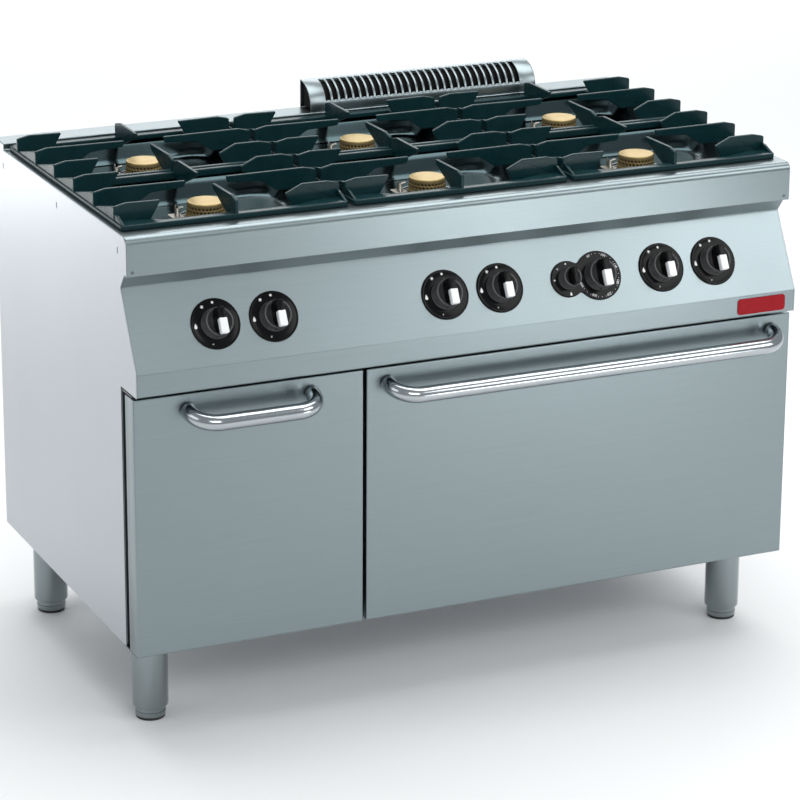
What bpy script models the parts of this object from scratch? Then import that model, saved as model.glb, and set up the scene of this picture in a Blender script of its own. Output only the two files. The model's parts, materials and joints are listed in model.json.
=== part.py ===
"""Six-burner commercial gas range on a cabinet and a gas oven. Metres, +Z up, front towards -Y.

The origin is on the floor under the middle of the object's box. Every sheet-metal cover, casting,
knob, door and foot is its own object, and a moving piece has its origin on its joint's axis.
"""

import math

import bmesh
import bpy
from mathutils import Matrix, Vector

# Overall sizes.
WIDTH = 1.200
BODY_DEPTH = 0.700
WORKTOP_Z = 0.850
BODY_BOTTOM_Z = 0.150

# Sheet metal and clearances.
SHEET = 0.0015
GAP = 0.0003
RUN_CLEARANCE = 0.0004
CUT_PAST = 0.010

# Doors and handles.
DOOR_SETBACK = 0.014
DOOR_THICK = 0.038
DOOR_REVEAL = 0.020
DOOR_SPLIT_X = -0.200
DOOR_SPLIT_GAP = 0.006
DOOR_TOP_GAP = 0.007
HANDLE_REACH = 0.060
HANDLE_R = 0.0135
HANDLE_TILT = math.radians(15)
HANDLE_BEND_R = 0.040
HANDLE_DROP = 0.025
CABINET_HANDLE_HALF = 0.107
OVEN_HANDLE_HALF = 0.361
HINGE_INSET = 0.020
HINGE_ROD_R = 0.004
HINGE_PLATE = 0.003
HINGE_ARM_HALF = 0.006

# Front profile, as drops below the worktop and setbacks behind the band.
BAND_DROP = 0.254
BAND_HEIGHT = 0.038
SLOPE_TOP_DROP = 0.090
SLOPE_RUN = 0.066
FASCIA_SETBACK = 0.033
FASCIA_HEIGHT = 0.065
FASCIA_LIP = 0.010
NOSE_R = 0.012
LEDGE_DEPTH = 0.051
LEDGE_HEIGHT = 0.011

# Burners, wells and pan supports.
MODULE_PITCH = 0.398
SUPPORT_LENGTH = 0.570
SUPPORT_WIDTH = 0.390
SUPPORT_FRONT_RIM = 0.037
FIN_PITCH = 0.097
FIN_THICK = 0.006
FIN_OUTER_H = 0.030
FIN_INNER_H = 0.035
FIN_UNDERCUT = 0.019
FIN_LONG_TIP = 0.036
FIN_SHORT_LEFT = 0.080
FIN_SHORT_RIGHT = 0.096
FIN_CENTRE_TIP = 0.038
FIN_CHAMFER = 0.021
FIN_NOSE_RUN = 0.030
FIN_NOSE_DROP = 0.013
SUPPORT_BAR_H = 0.008
SUPPORT_BAR_W = 0.012
SUPPORT_WEB = 0.005
SUPPORT_PLATE = (0.075, 0.040)
CROSS_BAR_HALF = 0.013
CROSS_BAR_H = 0.009
CROSS_RIDGE_HALF = 0.002
CROSS_RIDGE_H = 0.012
WELL_HALF = (0.184, 0.136)
WELL_FLOOR_HALF = (0.150, 0.102)
WELL_CORNER_R = 0.065
WELL_FLOOR_CORNER_R = 0.045
WELL_DEPTH = 0.035
BURNER_HOLE_R = 0.026
BURNER_DROP = 0.035
BURNER_FLANGE_R = 0.046
BURNER_SEAT_R = 0.021
CAP_R = 0.031
CAP_HEIGHT = 0.025
CAP_TOP_DROP = 0.003

# Knobs on the sloping panel.
KNOB_MODULE_PITCH = 0.403
KNOB_HALF_SPACING = 0.050
KNOB_UP_SLOPE = 0.067
BEZEL_R = 0.042
BEZEL_THICK = 0.003
KNOB_R = 0.025
KNOB_SKIRT_H = 0.023
KNOB_GRIP_H = 0.040
OVEN_VALVE_X = 0.176
OVEN_DIAL_X = 0.233
OVEN_VALVE_LOBE_R = 0.031
OVEN_VALVE_KNOB_R = 0.018
SPINDLE_R = 0.004
SPINDLE_HOLE_R = 0.007
SPINDLE_REACH = 0.012

# Gas pipes.
GAS_PIPE_R = 0.0107
GAS_INLET_X = 0.480
GAS_INLET_DROP = 0.210
GAS_MAIN_DEPTH = 0.055
GAS_MAIN_OVERHANG = 0.040
GAS_FEED_R = 0.0045
GAS_FEED_DROP = 0.060
TAP_HALF = (0.016, 0.014)

# Oven.
OVEN_INNER = (0.680, 0.310)
OVEN_INNER_BOTTOM_Z = 0.215
OVEN_FLOOR_RISE = 0.045
RACK_RISE = 0.160
RAIL_DEPTH = 0.012
RACK_WIRE = 0.005
RACK_WIRES = 13
GASKET_THICK = 0.006
GASKET_WIDTH = 0.012
LINER_THICK = 0.012
LINER_OVERLAP = 0.004
LINER_GAP = 0.0007
SHELF_SIDE_GAP = 0.004
SHELF_FRONT_GAP = 0.025
SHELF_BACK_GAP = 0.035
RACK_BAR = 0.008

# Flue.
FLUE_X = 0.200
FLUE_WIDTH = 0.450
FLUE_HEIGHT = 0.051
FLUE_SLOTS = 28
FLUE_SLOT_PITCH = 0.014
FLUE_SLOT_WIDTH = 0.0085
FLUE_RISE = 0.008
FLUE_SLOT_RISE = 0.018
DUCT_WIDTH = 0.380
DUCT_GAP = 0.006
DUCT_NECK_H = 0.050

# Legs.
LEG_INSET_X = 0.056
LEG_INSET_Y = 0.043
LEG_R = 0.030
LEG_WALL = 0.003
LEG_END_Z = 0.022
FOOT_GAP = 0.0015
FOOT_HEIGHT = 0.085

# Places that follow from the sizes above.
LEFT_X = -WIDTH / 2
RIGHT_X = WIDTH / 2
OVERALL_DEPTH = BODY_DEPTH + HANDLE_REACH - DOOR_SETBACK
BACK_Y = OVERALL_DEPTH / 2
BAND_Y = BACK_Y - BODY_DEPTH
DOOR_Y = BAND_Y + DOOR_SETBACK
DOOR_BACK_Y = DOOR_Y + DOOR_THICK
BODY_FRONT_Y = DOOR_BACK_Y + DOOR_REVEAL
FASCIA_Y = BAND_Y + FASCIA_SETBACK
FASCIA_BOTTOM_Z = WORKTOP_Z - FASCIA_HEIGHT
SLOPE_TOP = Vector((0, BAND_Y + SLOPE_RUN, WORKTOP_Z - SLOPE_TOP_DROP))
BAND_BOTTOM_Z = WORKTOP_Z - BAND_DROP
SLOPE_BASE = Vector((0, BAND_Y, BAND_BOTTOM_Z + BAND_HEIGHT))
UP_SLOPE = (SLOPE_TOP - SLOPE_BASE).normalized()
PANEL_ANGLE = math.atan2(UP_SLOPE.z, UP_SLOPE.y)
PANEL_NORMAL = Vector((0, -UP_SLOPE.z, UP_SLOPE.y))
DOOR_TOP_Z = BAND_BOTTOM_Z - DOOR_TOP_GAP
DOOR_BOTTOM_Z = BODY_BOTTOM_Z
LEDGE_Y = BACK_Y - LEDGE_DEPTH
LEDGE_Z = WORKTOP_Z + LEDGE_HEIGHT
BASE_Z = BODY_BOTTOM_Z + SHEET
FOOT_R = LEG_R - LEG_WALL - FOOT_GAP
BASE_TOP_Z = BASE_Z + SHEET
SUPPORT_Y = FASCIA_Y + SUPPORT_FRONT_RIM + SUPPORT_LENGTH / 2
WELL_FLOOR_Z = WORKTOP_Z - WELL_DEPTH
GAS_INLET_Z = WORKTOP_Z - GAS_INLET_DROP
CAP_TOP_Z = WORKTOP_Z - CAP_TOP_DROP
CAP_SEAT_Z = CAP_TOP_Z - CAP_HEIGHT
BURNER_DY = 1.5 * FIN_PITCH
SPLIT_LEFT_X = DOOR_SPLIT_X - DOOR_SPLIT_GAP / 2
SPLIT_RIGHT_X = DOOR_SPLIT_X + DOOR_SPLIT_GAP / 2
OVEN_X = (SPLIT_RIGHT_X + RIGHT_X) / 2
CABINET_X = (LEFT_X + SPLIT_LEFT_X) / 2
OVEN_LEFT_X = OVEN_X - OVEN_INNER[0] / 2
OVEN_RIGHT_X = OVEN_X + OVEN_INNER[0] / 2
OVEN_INNER_TOP_Z = OVEN_INNER_BOTTOM_Z + OVEN_INNER[1]
OVEN_BACK_Y = LEDGE_Y - SHEET
OVEN_FLOOR_Z = OVEN_INNER_BOTTOM_Z + OVEN_FLOOR_RISE
RACK_Z = OVEN_INNER_BOTTOM_Z + RACK_RISE
FLUE_NECK_Z = OVEN_INNER_TOP_Z - DUCT_NECK_H - 2 * CUT_PAST
HINGE_Y = DOOR_Y + HINGE_INSET
OVEN_HINGE_Z = DOOR_BOTTOM_Z + HINGE_INSET
CABINET_HINGE_X = LEFT_X + HINGE_INSET
HANDLE_Z = DOOR_TOP_Z - HANDLE_DROP
HINGE_ARMS_X = (OVEN_LEFT_X - 0.030, OVEN_RIGHT_X + 0.030)
BURNERS = [
    (f"{column}_{row}", (i - 1) * MODULE_PITCH, SUPPORT_Y + side * BURNER_DY)
    for i, column in enumerate(("left", "middle", "right"))
    for row, side in (("front", -1), ("rear", 1))
]
KNOBS = [
    (f"{column}_{row}", (i - 1) * KNOB_MODULE_PITCH + side * KNOB_HALF_SPACING)
    for i, column in enumerate(("left", "middle", "right"))
    for row, side in (("front", -1), ("rear", 1))
]
LEGS = [
    (f"{end}_{side}", sx * (RIGHT_X - LEG_INSET_X), y)
    for end, y in (("front", BODY_FRONT_Y + LEG_INSET_Y), ("rear", BACK_Y - LEG_INSET_Y - LEG_R))
    for side, sx in (("left", -1), ("right", 1))
]


def clear_scene():
    for old in list(bpy.data.objects):
        bpy.data.objects.remove(old, do_unlink=True)


def material(name, colour, roughness, metallic):
    made = bpy.data.materials.new(name)
    made.use_nodes = True
    shader = made.node_tree.nodes["Principled BSDF"]
    shader.inputs["Base Color"].default_value = (*colour, 1)
    shader.inputs["Roughness"].default_value = roughness
    shader.inputs["Metallic"].default_value = metallic
    return made


def place(name, mesh, look, location=(0, 0, 0), rotation=(0, 0, 0)):
    """Puts a mesh, or a curve, into the scene under its node's name."""
    made = bpy.data.objects.new(name, mesh)
    made.location = location
    made.rotation_euler = rotation
    if not mesh.materials:
        mesh.materials.append(look)
    bpy.context.scene.collection.objects.link(made)
    return made


def mesh_from(points, faces):
    mesh = bpy.data.meshes.new("shape")
    mesh.from_pydata([tuple(point) for point in points], [], faces)
    work = bmesh.new()
    work.from_mesh(mesh)
    bmesh.ops.recalc_face_normals(work, faces=work.faces)
    work.to_mesh(mesh)
    work.free()
    return mesh


def loft(loops):
    """A closed solid through rings of points that have the same count, with flat ends."""
    count = len(loops[0])
    points = [point for loop in loops for point in loop]
    faces = [list(range(count)), list(range(len(points) - count, len(points)))]
    for row in range(len(loops) - 1):
        for i in range(count):
            j = (i + 1) % count
            faces.append([row * count + i, row * count + j, (row + 1) * count + j, (row + 1) * count + i])
    return mesh_from(points, faces)


def ring(outer, inner, low, high, as_point):
    """A closed frame between two loops of the same count, from low to high along its third axis."""
    count = len(outer)
    rows = [(outer, low), (outer, high), (inner, high), (inner, low)]
    points = [as_point(a, b, level) for loop, level in rows for a, b in loop]
    faces = []
    for row in range(4):
        after = (row + 1) % 4
        for i in range(count):
            j = (i + 1) % count
            faces.append([row * count + i, row * count + j, after * count + j, after * count + i])
    return mesh_from(points, faces)


def box(low, high):
    (x0, y0, z0), (x1, y1, z1) = low, high
    return loft([[(x0, y0, z), (x1, y0, z), (x1, y1, z), (x0, y1, z)] for z in (z0, z1)])


def prism_x(outline, x0, x1):
    """An outline of (y, z) points carried along X."""
    return loft([[(x, y, z) for y, z in outline] for x in (x0, x1)])


def prism_y(outline, y0, y1):
    """An outline of (x, z) points carried along Y."""
    return loft([[(x, y, z) for x, z in outline] for y in (y0, y1)])


def prism_z(outline, z0, z1):
    """An outline of (x, y) points carried along Z."""
    return loft([[(x, y, z) for x, y in outline] for z in (z0, z1)])


def rounded_rectangle(half_x, half_y, radius, steps=3):
    outline = []
    for quarter, (sx, sy) in enumerate(((1, 1), (-1, 1), (-1, -1), (1, -1))):
        for i in range(steps + 1):
            angle = math.pi / 2 * (quarter + i / steps)
            outline.append(
                (
                    sx * (half_x - radius) + radius * math.cos(angle),
                    sy * (half_y - radius) + radius * math.sin(angle),
                )
            )
    return outline


def circle(x, y, radius, steps=24):
    turn = 2 * math.pi / steps
    return [(x + radius * math.cos(turn * i), y + radius * math.sin(turn * i)) for i in range(steps)]


def turned(profile, steps=16):
    """A solid turned about Z from (radius, z) points that start and end on the axis."""
    rings = [[(*xy, z) for xy in circle(0, 0, r, steps)] for r, z in profile if r > 0]
    return loft(rings)


def rod(start, end, radius, steps=8):
    start, end = Vector(start), Vector(end)
    turn = (end - start).to_track_quat("Z", "Y").to_matrix()
    return loft([[turn @ Vector((*xy, 0)) + at for xy in circle(0, 0, radius, steps)] for at in (start, end)])


def folded(outline, thickness):
    """The closed section of a sheet folded along an outline, with its thickness on the left of its way."""
    path = [Vector(point) for point in outline]
    inner = []
    for i, point in enumerate(path):
        before = (point - path[i - 1]).normalized() if i else None
        after = (path[i + 1] - point).normalized() if i + 1 < len(path) else None
        before = before or after
        after = after or before
        side = Vector((-before.y - after.y, before.x + after.x)).normalized()
        cosine = side.dot(Vector((-before.y, before.x)))
        inner.append(point + side * thickness / cosine)
    return [tuple(point) for point in path + inner[::-1]]


def combined(mesh, others, operation):
    """The mesh after a union with the others, or after they are cut from it."""
    hold = bpy.data.collections.new("operands")
    bpy.context.scene.collection.children.link(hold)
    base = bpy.data.objects.new("base", mesh)
    bpy.context.scene.collection.objects.link(base)
    helpers = []
    for other in others:
        helper = bpy.data.objects.new("operand", other)
        hold.objects.link(helper)
        helpers.append(helper)
    step = base.modifiers.new("combine", "BOOLEAN")
    step.operation = operation
    step.operand_type = "COLLECTION"
    step.collection = hold
    bpy.context.view_layer.update()
    graph = bpy.context.evaluated_depsgraph_get()
    result = bpy.data.meshes.new_from_object(base.evaluated_get(graph))
    for helper in [base] + helpers:
        bpy.data.objects.remove(helper, do_unlink=True)
    bpy.data.collections.remove(hold)
    result.materials.clear()
    return result


def union(meshes):
    return combined(meshes[0], meshes[1:], "UNION")


def cut(mesh, cutters):
    """Takes cutters that don't touch each other out of the mesh."""
    return combined(mesh, cutters, "DIFFERENCE")


def smooth(mesh, degrees=35):
    mesh.shade_smooth()
    mesh.set_sharp_from_angle(angle=math.radians(degrees))
    return mesh


def moved(mesh, offset):
    mesh.transform(Matrix.Translation(offset))
    return mesh


def on_panel(x, height=0.0):
    """A point on the sloping panel at the knobs' level, and this high off it."""
    point = SLOPE_BASE + UP_SLOPE * KNOB_UP_SLOPE + PANEL_NORMAL * height
    return Vector((x, point.y, point.z))


def side_outline():
    inside = SHEET + GAP
    return [
        (BODY_FRONT_Y, BODY_BOTTOM_Z),
        (BODY_FRONT_Y, BAND_BOTTOM_Z),
        (BAND_Y, BAND_BOTTOM_Z),
        (BAND_Y, SLOPE_BASE.z),
        (SLOPE_TOP.y, SLOPE_TOP.z),
        (FASCIA_Y + FASCIA_LIP + inside, FASCIA_BOTTOM_Z + inside),
        (FASCIA_Y + inside, FASCIA_BOTTOM_Z + inside),
        (FASCIA_Y + inside, WORKTOP_Z - NOSE_R),
        (FASCIA_Y + NOSE_R, WORKTOP_Z - inside),
        (LEDGE_Y + inside, WORKTOP_Z - inside),
        (LEDGE_Y + inside, LEDGE_Z - inside),
        (BACK_Y, LEDGE_Z - inside),
        (BACK_Y, BODY_BOTTOM_Z),
    ]


def make_casing(steel):
    for name, x in (("side_panel_left", LEFT_X), ("side_panel_right", RIGHT_X - SHEET)):
        place(name, prism_x(side_outline(), x, x + SHEET), steel)
    inside = SHEET + GAP
    low_x, high_x = LEFT_X + inside, RIGHT_X - inside
    back = box((low_x, BACK_Y - SHEET, BASE_TOP_Z + GAP), (high_x, BACK_Y, LEDGE_Z - inside))
    front, behind = BACK_Y - CUT_PAST, BACK_Y + CUT_PAST
    inlet = rod((GAS_INLET_X, front, GAS_INLET_Z), (GAS_INLET_X, behind, GAS_INLET_Z), GAS_PIPE_R + SHEET)
    place("back_panel", cut(back, [inlet]), steel)
    place("base_panel", box((low_x, BODY_FRONT_Y, BASE_Z), (high_x, BACK_Y, BASE_TOP_Z)), steel)
    partition = box(
        (DOOR_SPLIT_X - SHEET / 2, BODY_FRONT_Y, BASE_TOP_Z + GAP),
        (DOOR_SPLIT_X + SHEET / 2, BACK_Y - inside, BAND_BOTTOM_Z - GAP),
    )
    place("centre_partition", partition, steel)


def make_control_panel(steel):
    outline = [
        (BODY_FRONT_Y, BAND_BOTTOM_Z),
        (BAND_Y, BAND_BOTTOM_Z),
        (SLOPE_BASE.y, SLOPE_BASE.z),
        (SLOPE_TOP.y, SLOPE_TOP.z),
        (FASCIA_Y + FASCIA_LIP + 2 * SHEET, FASCIA_BOTTOM_Z - GAP),
    ]
    inside = SHEET + GAP
    panel = prism_x(folded(outline[::-1], SHEET), LEFT_X + inside, RIGHT_X - inside)
    depth = 2 * SHEET
    holes = [
        rod(on_panel(x, -depth), on_panel(x, depth), SPINDLE_HOLE_R)
        for x in [x for _, x in KNOBS] + [OVEN_VALVE_X, OVEN_DIAL_X]
    ]
    place("control_panel", cut(panel, holes), steel)


def well_loops(grow):
    """The loops of a well from its floor to its rim, grown all round for the metal's outside."""
    half_x, half_y = WELL_FLOOR_HALF
    floor = rounded_rectangle(half_x + grow, half_y + grow, WELL_FLOOR_CORNER_R + grow)
    rim = rounded_rectangle(WELL_HALF[0] + grow, WELL_HALF[1] + grow, WELL_CORNER_R + grow)
    return floor, rim


def make_worktop(steel):
    nose = [
        (FASCIA_Y + NOSE_R - NOSE_R * math.cos(a), WORKTOP_Z - NOSE_R + NOSE_R * math.sin(a))
        for a in [math.pi / 2 * i / 5 for i in range(6)]
    ]
    outline = [(FASCIA_Y + FASCIA_LIP, FASCIA_BOTTOM_Z), (FASCIA_Y, FASCIA_BOTTOM_Z), *nose]
    outline += [(LEDGE_Y, WORKTOP_Z), (LEDGE_Y, LEDGE_Z), (BACK_Y, LEDGE_Z)]
    sheet = prism_x(folded(outline[::-1], SHEET), LEFT_X, RIGHT_X)
    floor, rim = well_loops(SHEET)
    inner_floor, inner_rim = well_loops(0)
    shells, hollows = [], []
    for _, x, y in BURNERS:
        low = WELL_FLOOR_Z - SHEET
        shells.append(
            moved(loft([[(*p, low) for p in floor], [(*p, WORKTOP_Z - SHEET / 2) for p in rim]]), (x, y, 0))
        )
        levels = ((inner_floor, WELL_FLOOR_Z), (inner_rim, WORKTOP_Z), (inner_rim, WORKTOP_Z + NOSE_R))
        hollows.append(moved(loft([[(*p, z) for p in loop] for loop, z in levels]), (x, y, 0)))
    drop = WELL_DEPTH + 2 * NOSE_R
    holes = [rod((x, y, WORKTOP_Z - drop), (x, y, WORKTOP_Z), BURNER_HOLE_R, 20) for _, x, y in BURNERS]
    around = DUCT_GAP - RUN_CLEARANCE
    flue = box(
        (FLUE_X - DUCT_WIDTH / 2 - RUN_CLEARANCE, LEDGE_Y + around, WORKTOP_Z + GAP),
        (FLUE_X + DUCT_WIDTH / 2 + RUN_CLEARANCE, BACK_Y - around, LEDGE_Z + NOSE_R),
    )
    worktop = cut(cut(union([sheet] + shells), hollows), holes + [flue])
    place("worktop", worktop, steel)


def make_flue(steel):
    """The duct behind the oven, with a neck to the oven's outlet."""
    half = DUCT_WIDTH / 2
    y0, y1 = LEDGE_Y + DUCT_GAP, BACK_Y - DUCT_GAP
    z0, z1 = FLUE_NECK_Z - CUT_PAST, LEDGE_Z + DUCT_GAP
    duct = box((FLUE_X - half, y0, z0), (FLUE_X + half, y1, z1))
    inner_y1, above = y1 - SHEET, z1 + CUT_PAST
    hollow = box((FLUE_X - half + SHEET, y0 + SHEET, z0 + SHEET), (FLUE_X + half - SHEET, inner_y1, above))
    duct = cut(duct, [hollow])
    neck_top = FLUE_NECK_Z + DUCT_NECK_H
    neck_low = (FLUE_X - half / 2, OVEN_BACK_Y + GAP, FLUE_NECK_Z)
    neck = box(neck_low, (FLUE_X + half / 2, y0 + SHEET / 2, neck_top))
    inlet = box(
        (FLUE_X - half / 2 + SHEET, OVEN_BACK_Y - CUT_PAST, FLUE_NECK_Z + SHEET),
        (FLUE_X + half / 2 - SHEET, y0 + 2 * SHEET, neck_top - SHEET),
    )
    place("flue_duct", cut(union([duct, neck]), [inlet]), steel)


def flue_outline(inset, bottom):
    """The quarter-round side of the flue cover, as (y, z) points."""
    front, back = LEDGE_Y + 0.001 + inset, BACK_Y - 0.001 - inset
    top = LEDGE_Z + FLUE_HEIGHT - inset
    start = LEDGE_Z + FLUE_RISE
    curve = [
        (back - (back - front) * math.cos(a), start + (top - start) * math.sin(a))
        for a in [math.pi / 2 * i / 5 for i in range(6)]
    ]
    return [(front, bottom), *curve, (back, bottom)]


def make_flue_grille(steel):
    half = FLUE_WIDTH / 2
    shell = prism_x(flue_outline(0, LEDGE_Z + GAP), FLUE_X - half, FLUE_X + half)
    hollow = prism_x(flue_outline(SHEET, LEDGE_Z - CUT_PAST), FLUE_X - half + SHEET, FLUE_X + half - SHEET)
    shell = cut(shell, [hollow])
    slots = []
    for i in range(FLUE_SLOTS):
        x = FLUE_X + (i - (FLUE_SLOTS - 1) / 2) * FLUE_SLOT_PITCH
        low = (x - FLUE_SLOT_WIDTH / 2, LEDGE_Y - CUT_PAST, LEDGE_Z + FLUE_SLOT_RISE)
        high = (x + FLUE_SLOT_WIDTH / 2, BACK_Y - FLUE_RISE, LEDGE_Z + FLUE_HEIGHT + CUT_PAST)
        slots.append(box(low, high))
    place("flue_grille", cut(shell, slots), steel)


def make_burners(iron, brass):
    """Each burner body stands in its well, and its brass cap lifts off the body's rim."""
    floor = WELL_FLOOR_Z + GAP
    body = [
        (BURNER_SEAT_R - 0.003, WELL_FLOOR_Z - BURNER_DROP),
        (BURNER_HOLE_R - 0.002, WELL_FLOOR_Z - 0.006),
        (BURNER_HOLE_R - 0.002, floor),
        (BURNER_FLANGE_R, floor),
        (BURNER_FLANGE_R - 0.002, floor + 0.003),
        (CAP_R + 0.004, floor + 0.004),
        (CAP_R + 0.003, CAP_SEAT_Z - GAP),
        (BURNER_SEAT_R, CAP_SEAT_Z - GAP),
        (BURNER_SEAT_R, CAP_SEAT_Z - 0.0045),
    ]
    body_mesh = smooth(turned(body, 14))
    rim = CAP_SEAT_Z
    cap = [
        (BURNER_SEAT_R - 0.0012, rim - 0.004),
        (BURNER_SEAT_R - 0.0012, rim),
        (CAP_R + 0.002, rim),
        (CAP_R + 0.002, rim + 0.004),
        (CAP_R, rim + 0.005),
        (CAP_R - 0.0005, CAP_TOP_Z - 0.003),
        (CAP_R - 0.003, CAP_TOP_Z - 0.0005),
        (CAP_R - 0.008, CAP_TOP_Z),
    ]
    cap_mesh = smooth(turned(cap, 16))
    for name, x, y in BURNERS:
        place(f"burner_body_{name}", body_mesh, iron, (x, y, 0))
        place(f"burner_cap_{name}", cap_mesh, brass, (x, y, 0))


def side_fin(x_edge, inward, length, y, nose):
    """An upright plate from the side bar inwards, its tip cut back below and, on some, sloped on top."""
    low, outer, inner = 0.0005, FIN_OUTER_H, FIN_INNER_H
    tip = [(length, inner - 0.002), (length - FIN_UNDERCUT, low)]
    if nose:
        tip = [(length - FIN_NOSE_RUN, inner), (length, inner - FIN_NOSE_DROP), (length - FIN_NOSE_DROP, low)]
    outline = [(0, low), (0, outer), (FIN_CHAMFER, inner)] + ([] if nose else [(length - 0.003, inner)]) + tip
    points = [(x_edge + inward * a, WORKTOP_Z + GAP + b) for a, b in outline]
    return prism_y(points, y - FIN_THICK / 2, y + FIN_THICK / 2)


def centre_fin(x, y_root, way, length):
    """An upright plate from a cross bar towards a burner."""
    low, outer, inner = 0.0005, FIN_OUTER_H, FIN_INNER_H
    tip = [(length, inner - 0.001), (length - FIN_UNDERCUT, low)]
    outline = [(0, low), (0, outer), (FIN_CHAMFER, inner)] + tip
    points = [(y_root + way * a, WORKTOP_Z + GAP + b) for a, b in outline]
    return prism_x(points, x - FIN_THICK / 2, x + FIN_THICK / 2)


def pan_support_mesh():
    """One cast support about its own middle, with six fins a side and four in line with the burners."""
    hx, hy = SUPPORT_WIDTH / 2, SUPPORT_LENGTH / 2
    z0 = WORKTOP_Z + GAP
    frame = ring(
        rounded_rectangle(hx, hy, 0.006, 1),
        rounded_rectangle(hx - SUPPORT_BAR_W, hy - SUPPORT_BAR_W, 0.006, 1),
        z0,
        z0 + SUPPORT_BAR_H,
        lambda a, b, level: (a, b, level),
    )
    pieces = [frame]
    rows = [(i - 2.5) * FIN_PITCH for i in range(6)]
    for i, y in enumerate(rows):
        long_row = i in (1, 4)
        for side, short in ((-1, FIN_SHORT_LEFT), (1, FIN_SHORT_RIGHT)):
            length = hx - FIN_LONG_TIP if long_row else short
            nose = side > 0 and i in (0, 2, 3)
            pieces.append(side_fin(side * (hx - 0.001), -side, length, y, nose))
    for y_rear, y_front in zip(rows[1:], rows[:-1]):
        web = [
            (y_front, z0 + 0.001),
            (y_rear - FIN_THICK, z0 + 0.001),
            (y_rear - FIN_THICK, z0 + SUPPORT_BAR_H + 0.001),
            (y_front + 0.012, z0 + FIN_OUTER_H - 0.003),
            (y_front, z0 + FIN_OUTER_H - 0.003),
        ]
        for side in (-1, 1):
            x = side * (hx - 0.9 * SUPPORT_WEB)
            pieces.append(prism_x(web, x - SUPPORT_WEB / 2, x + SUPPORT_WEB / 2))
    end = hx - SUPPORT_WEB
    pieces.append(box((-end, -CROSS_BAR_HALF, z0 + 0.001), (end, CROSS_BAR_HALF, z0 + CROSS_BAR_H)))
    for y in (0.002 - CROSS_BAR_HALF, CROSS_BAR_HALF - 0.006):
        high = (end - 0.001, y + 2 * CROSS_RIDGE_HALF, z0 + CROSS_RIDGE_H)
        pieces.append(box((0.001 - end, y, z0 + 0.002), high))
    arm = BURNER_DY - FIN_CENTRE_TIP
    for y_root, way, length in (
        (-hy + 0.002, 1, hy - BURNER_DY - FIN_CENTRE_TIP),
        (-0.002, -1, arm),
        (0.002, 1, arm),
        (hy - 0.002, -1, hy - BURNER_DY - FIN_CENTRE_TIP),
    ):
        pieces.append(centre_fin(0, y_root, way, length))
    for sx in (-1, 1):
        for sy in (-1, 1):
            corner = (sx * (hx - 0.004), sy * (hy - 0.004))
            along, back = SUPPORT_PLATE
            web = [corner, (sx * (hx - along), corner[1]), (corner[0], sy * (hy - back))]
            pieces.append(prism_z(web, z0 + 0.0015, z0 + 0.006))
    return union(pieces)


def make_pan_supports(iron):
    mesh = pan_support_mesh()
    for i, name in enumerate(("left", "middle", "right")):
        place(f"pan_support_{name}", mesh, iron, ((i - 1) * MODULE_PITCH, SUPPORT_Y, 0))


def make_gas_manifold(brass):
    """The gas main, its inlet to the back, a tap behind every knob and a feed pipe to every burner."""
    axis = on_panel(0, -GAS_MAIN_DEPTH)
    x0, x1 = KNOBS[0][1] - GAS_MAIN_OVERHANG, KNOBS[-1][1] + GAS_MAIN_OVERHANG
    pieces = [rod((x0, axis.y, axis.z), (x1, axis.y, axis.z), GAS_PIPE_R)]
    turn = Matrix.Rotation(PANEL_ANGLE, 4, "X")
    for x in [x for _, x in KNOBS] + [OVEN_VALVE_X, OVEN_DIAL_X]:
        half_x, half_y = TAP_HALF
        tap = box((-half_x, -half_y, -GAS_MAIN_DEPTH - 0.013), (half_x, half_y, -0.012))
        tap.transform(Matrix.Translation(on_panel(x)) @ turn)
        pieces.append(tap)
        pieces.append(rod(on_panel(x, -0.020), on_panel(x, SPINDLE_REACH), SPINDLE_R))
    drop_top, drop_end = (GAS_INLET_X, axis.y, axis.z + 0.004), (GAS_INLET_X, axis.y, GAS_INLET_Z - 0.008)
    pieces.append(rod(drop_top, drop_end, GAS_PIPE_R - 0.001))
    outlet = (GAS_INLET_X, BACK_Y, GAS_INLET_Z)
    pieces.append(rod((GAS_INLET_X, axis.y - 0.006, GAS_INLET_Z), outlet, GAS_PIPE_R))
    feed_z = WELL_FLOOR_Z - GAS_FEED_DROP
    below = 0.004
    for (_, knob_x), (_, x, y) in zip(KNOBS, BURNERS):
        start = on_panel(knob_x, -GAS_MAIN_DEPTH)
        bend = (knob_x, start.y + 0.030, feed_z)
        pieces.append(rod(start, bend, GAS_FEED_R - 0.0005, 6))
        pieces.append(rod(bend, (x, y, feed_z + below), GAS_FEED_R, 6))
        riser_top = WELL_FLOOR_Z - BURNER_DROP - GAP
        pieces.append(rod((x, y, feed_z - below), (x, y, riser_top), GAS_FEED_R + 0.0005, 6))
    place("gas_manifold", union(pieces), brass)


def knob_mesh(radius, skirt, grip, rise):
    """A round skirt with a bar across it, which the fingers hold, and a blind hole for the spindle."""
    body = turned([(radius + 0.001, rise), (radius, skirt - 0.002), (radius - 0.002, skirt)])
    bar = [
        [(a * radius * scale, b * width, z) for a, b in ((0.22, -1), (0.22, 1), (-0.22, 1), (-0.22, -1))]
        for width, scale, z in ((radius - 0.0005, 1.0, skirt - 0.004), (radius - 0.003, 0.8, grip))
    ]
    hole = rod((0, 0, -CUT_PAST), (0, 0, SPINDLE_REACH + 0.001), SPINDLE_R + RUN_CLEARANCE)
    return smooth(cut(union([body, loft(bar)]), [hole]))


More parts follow.
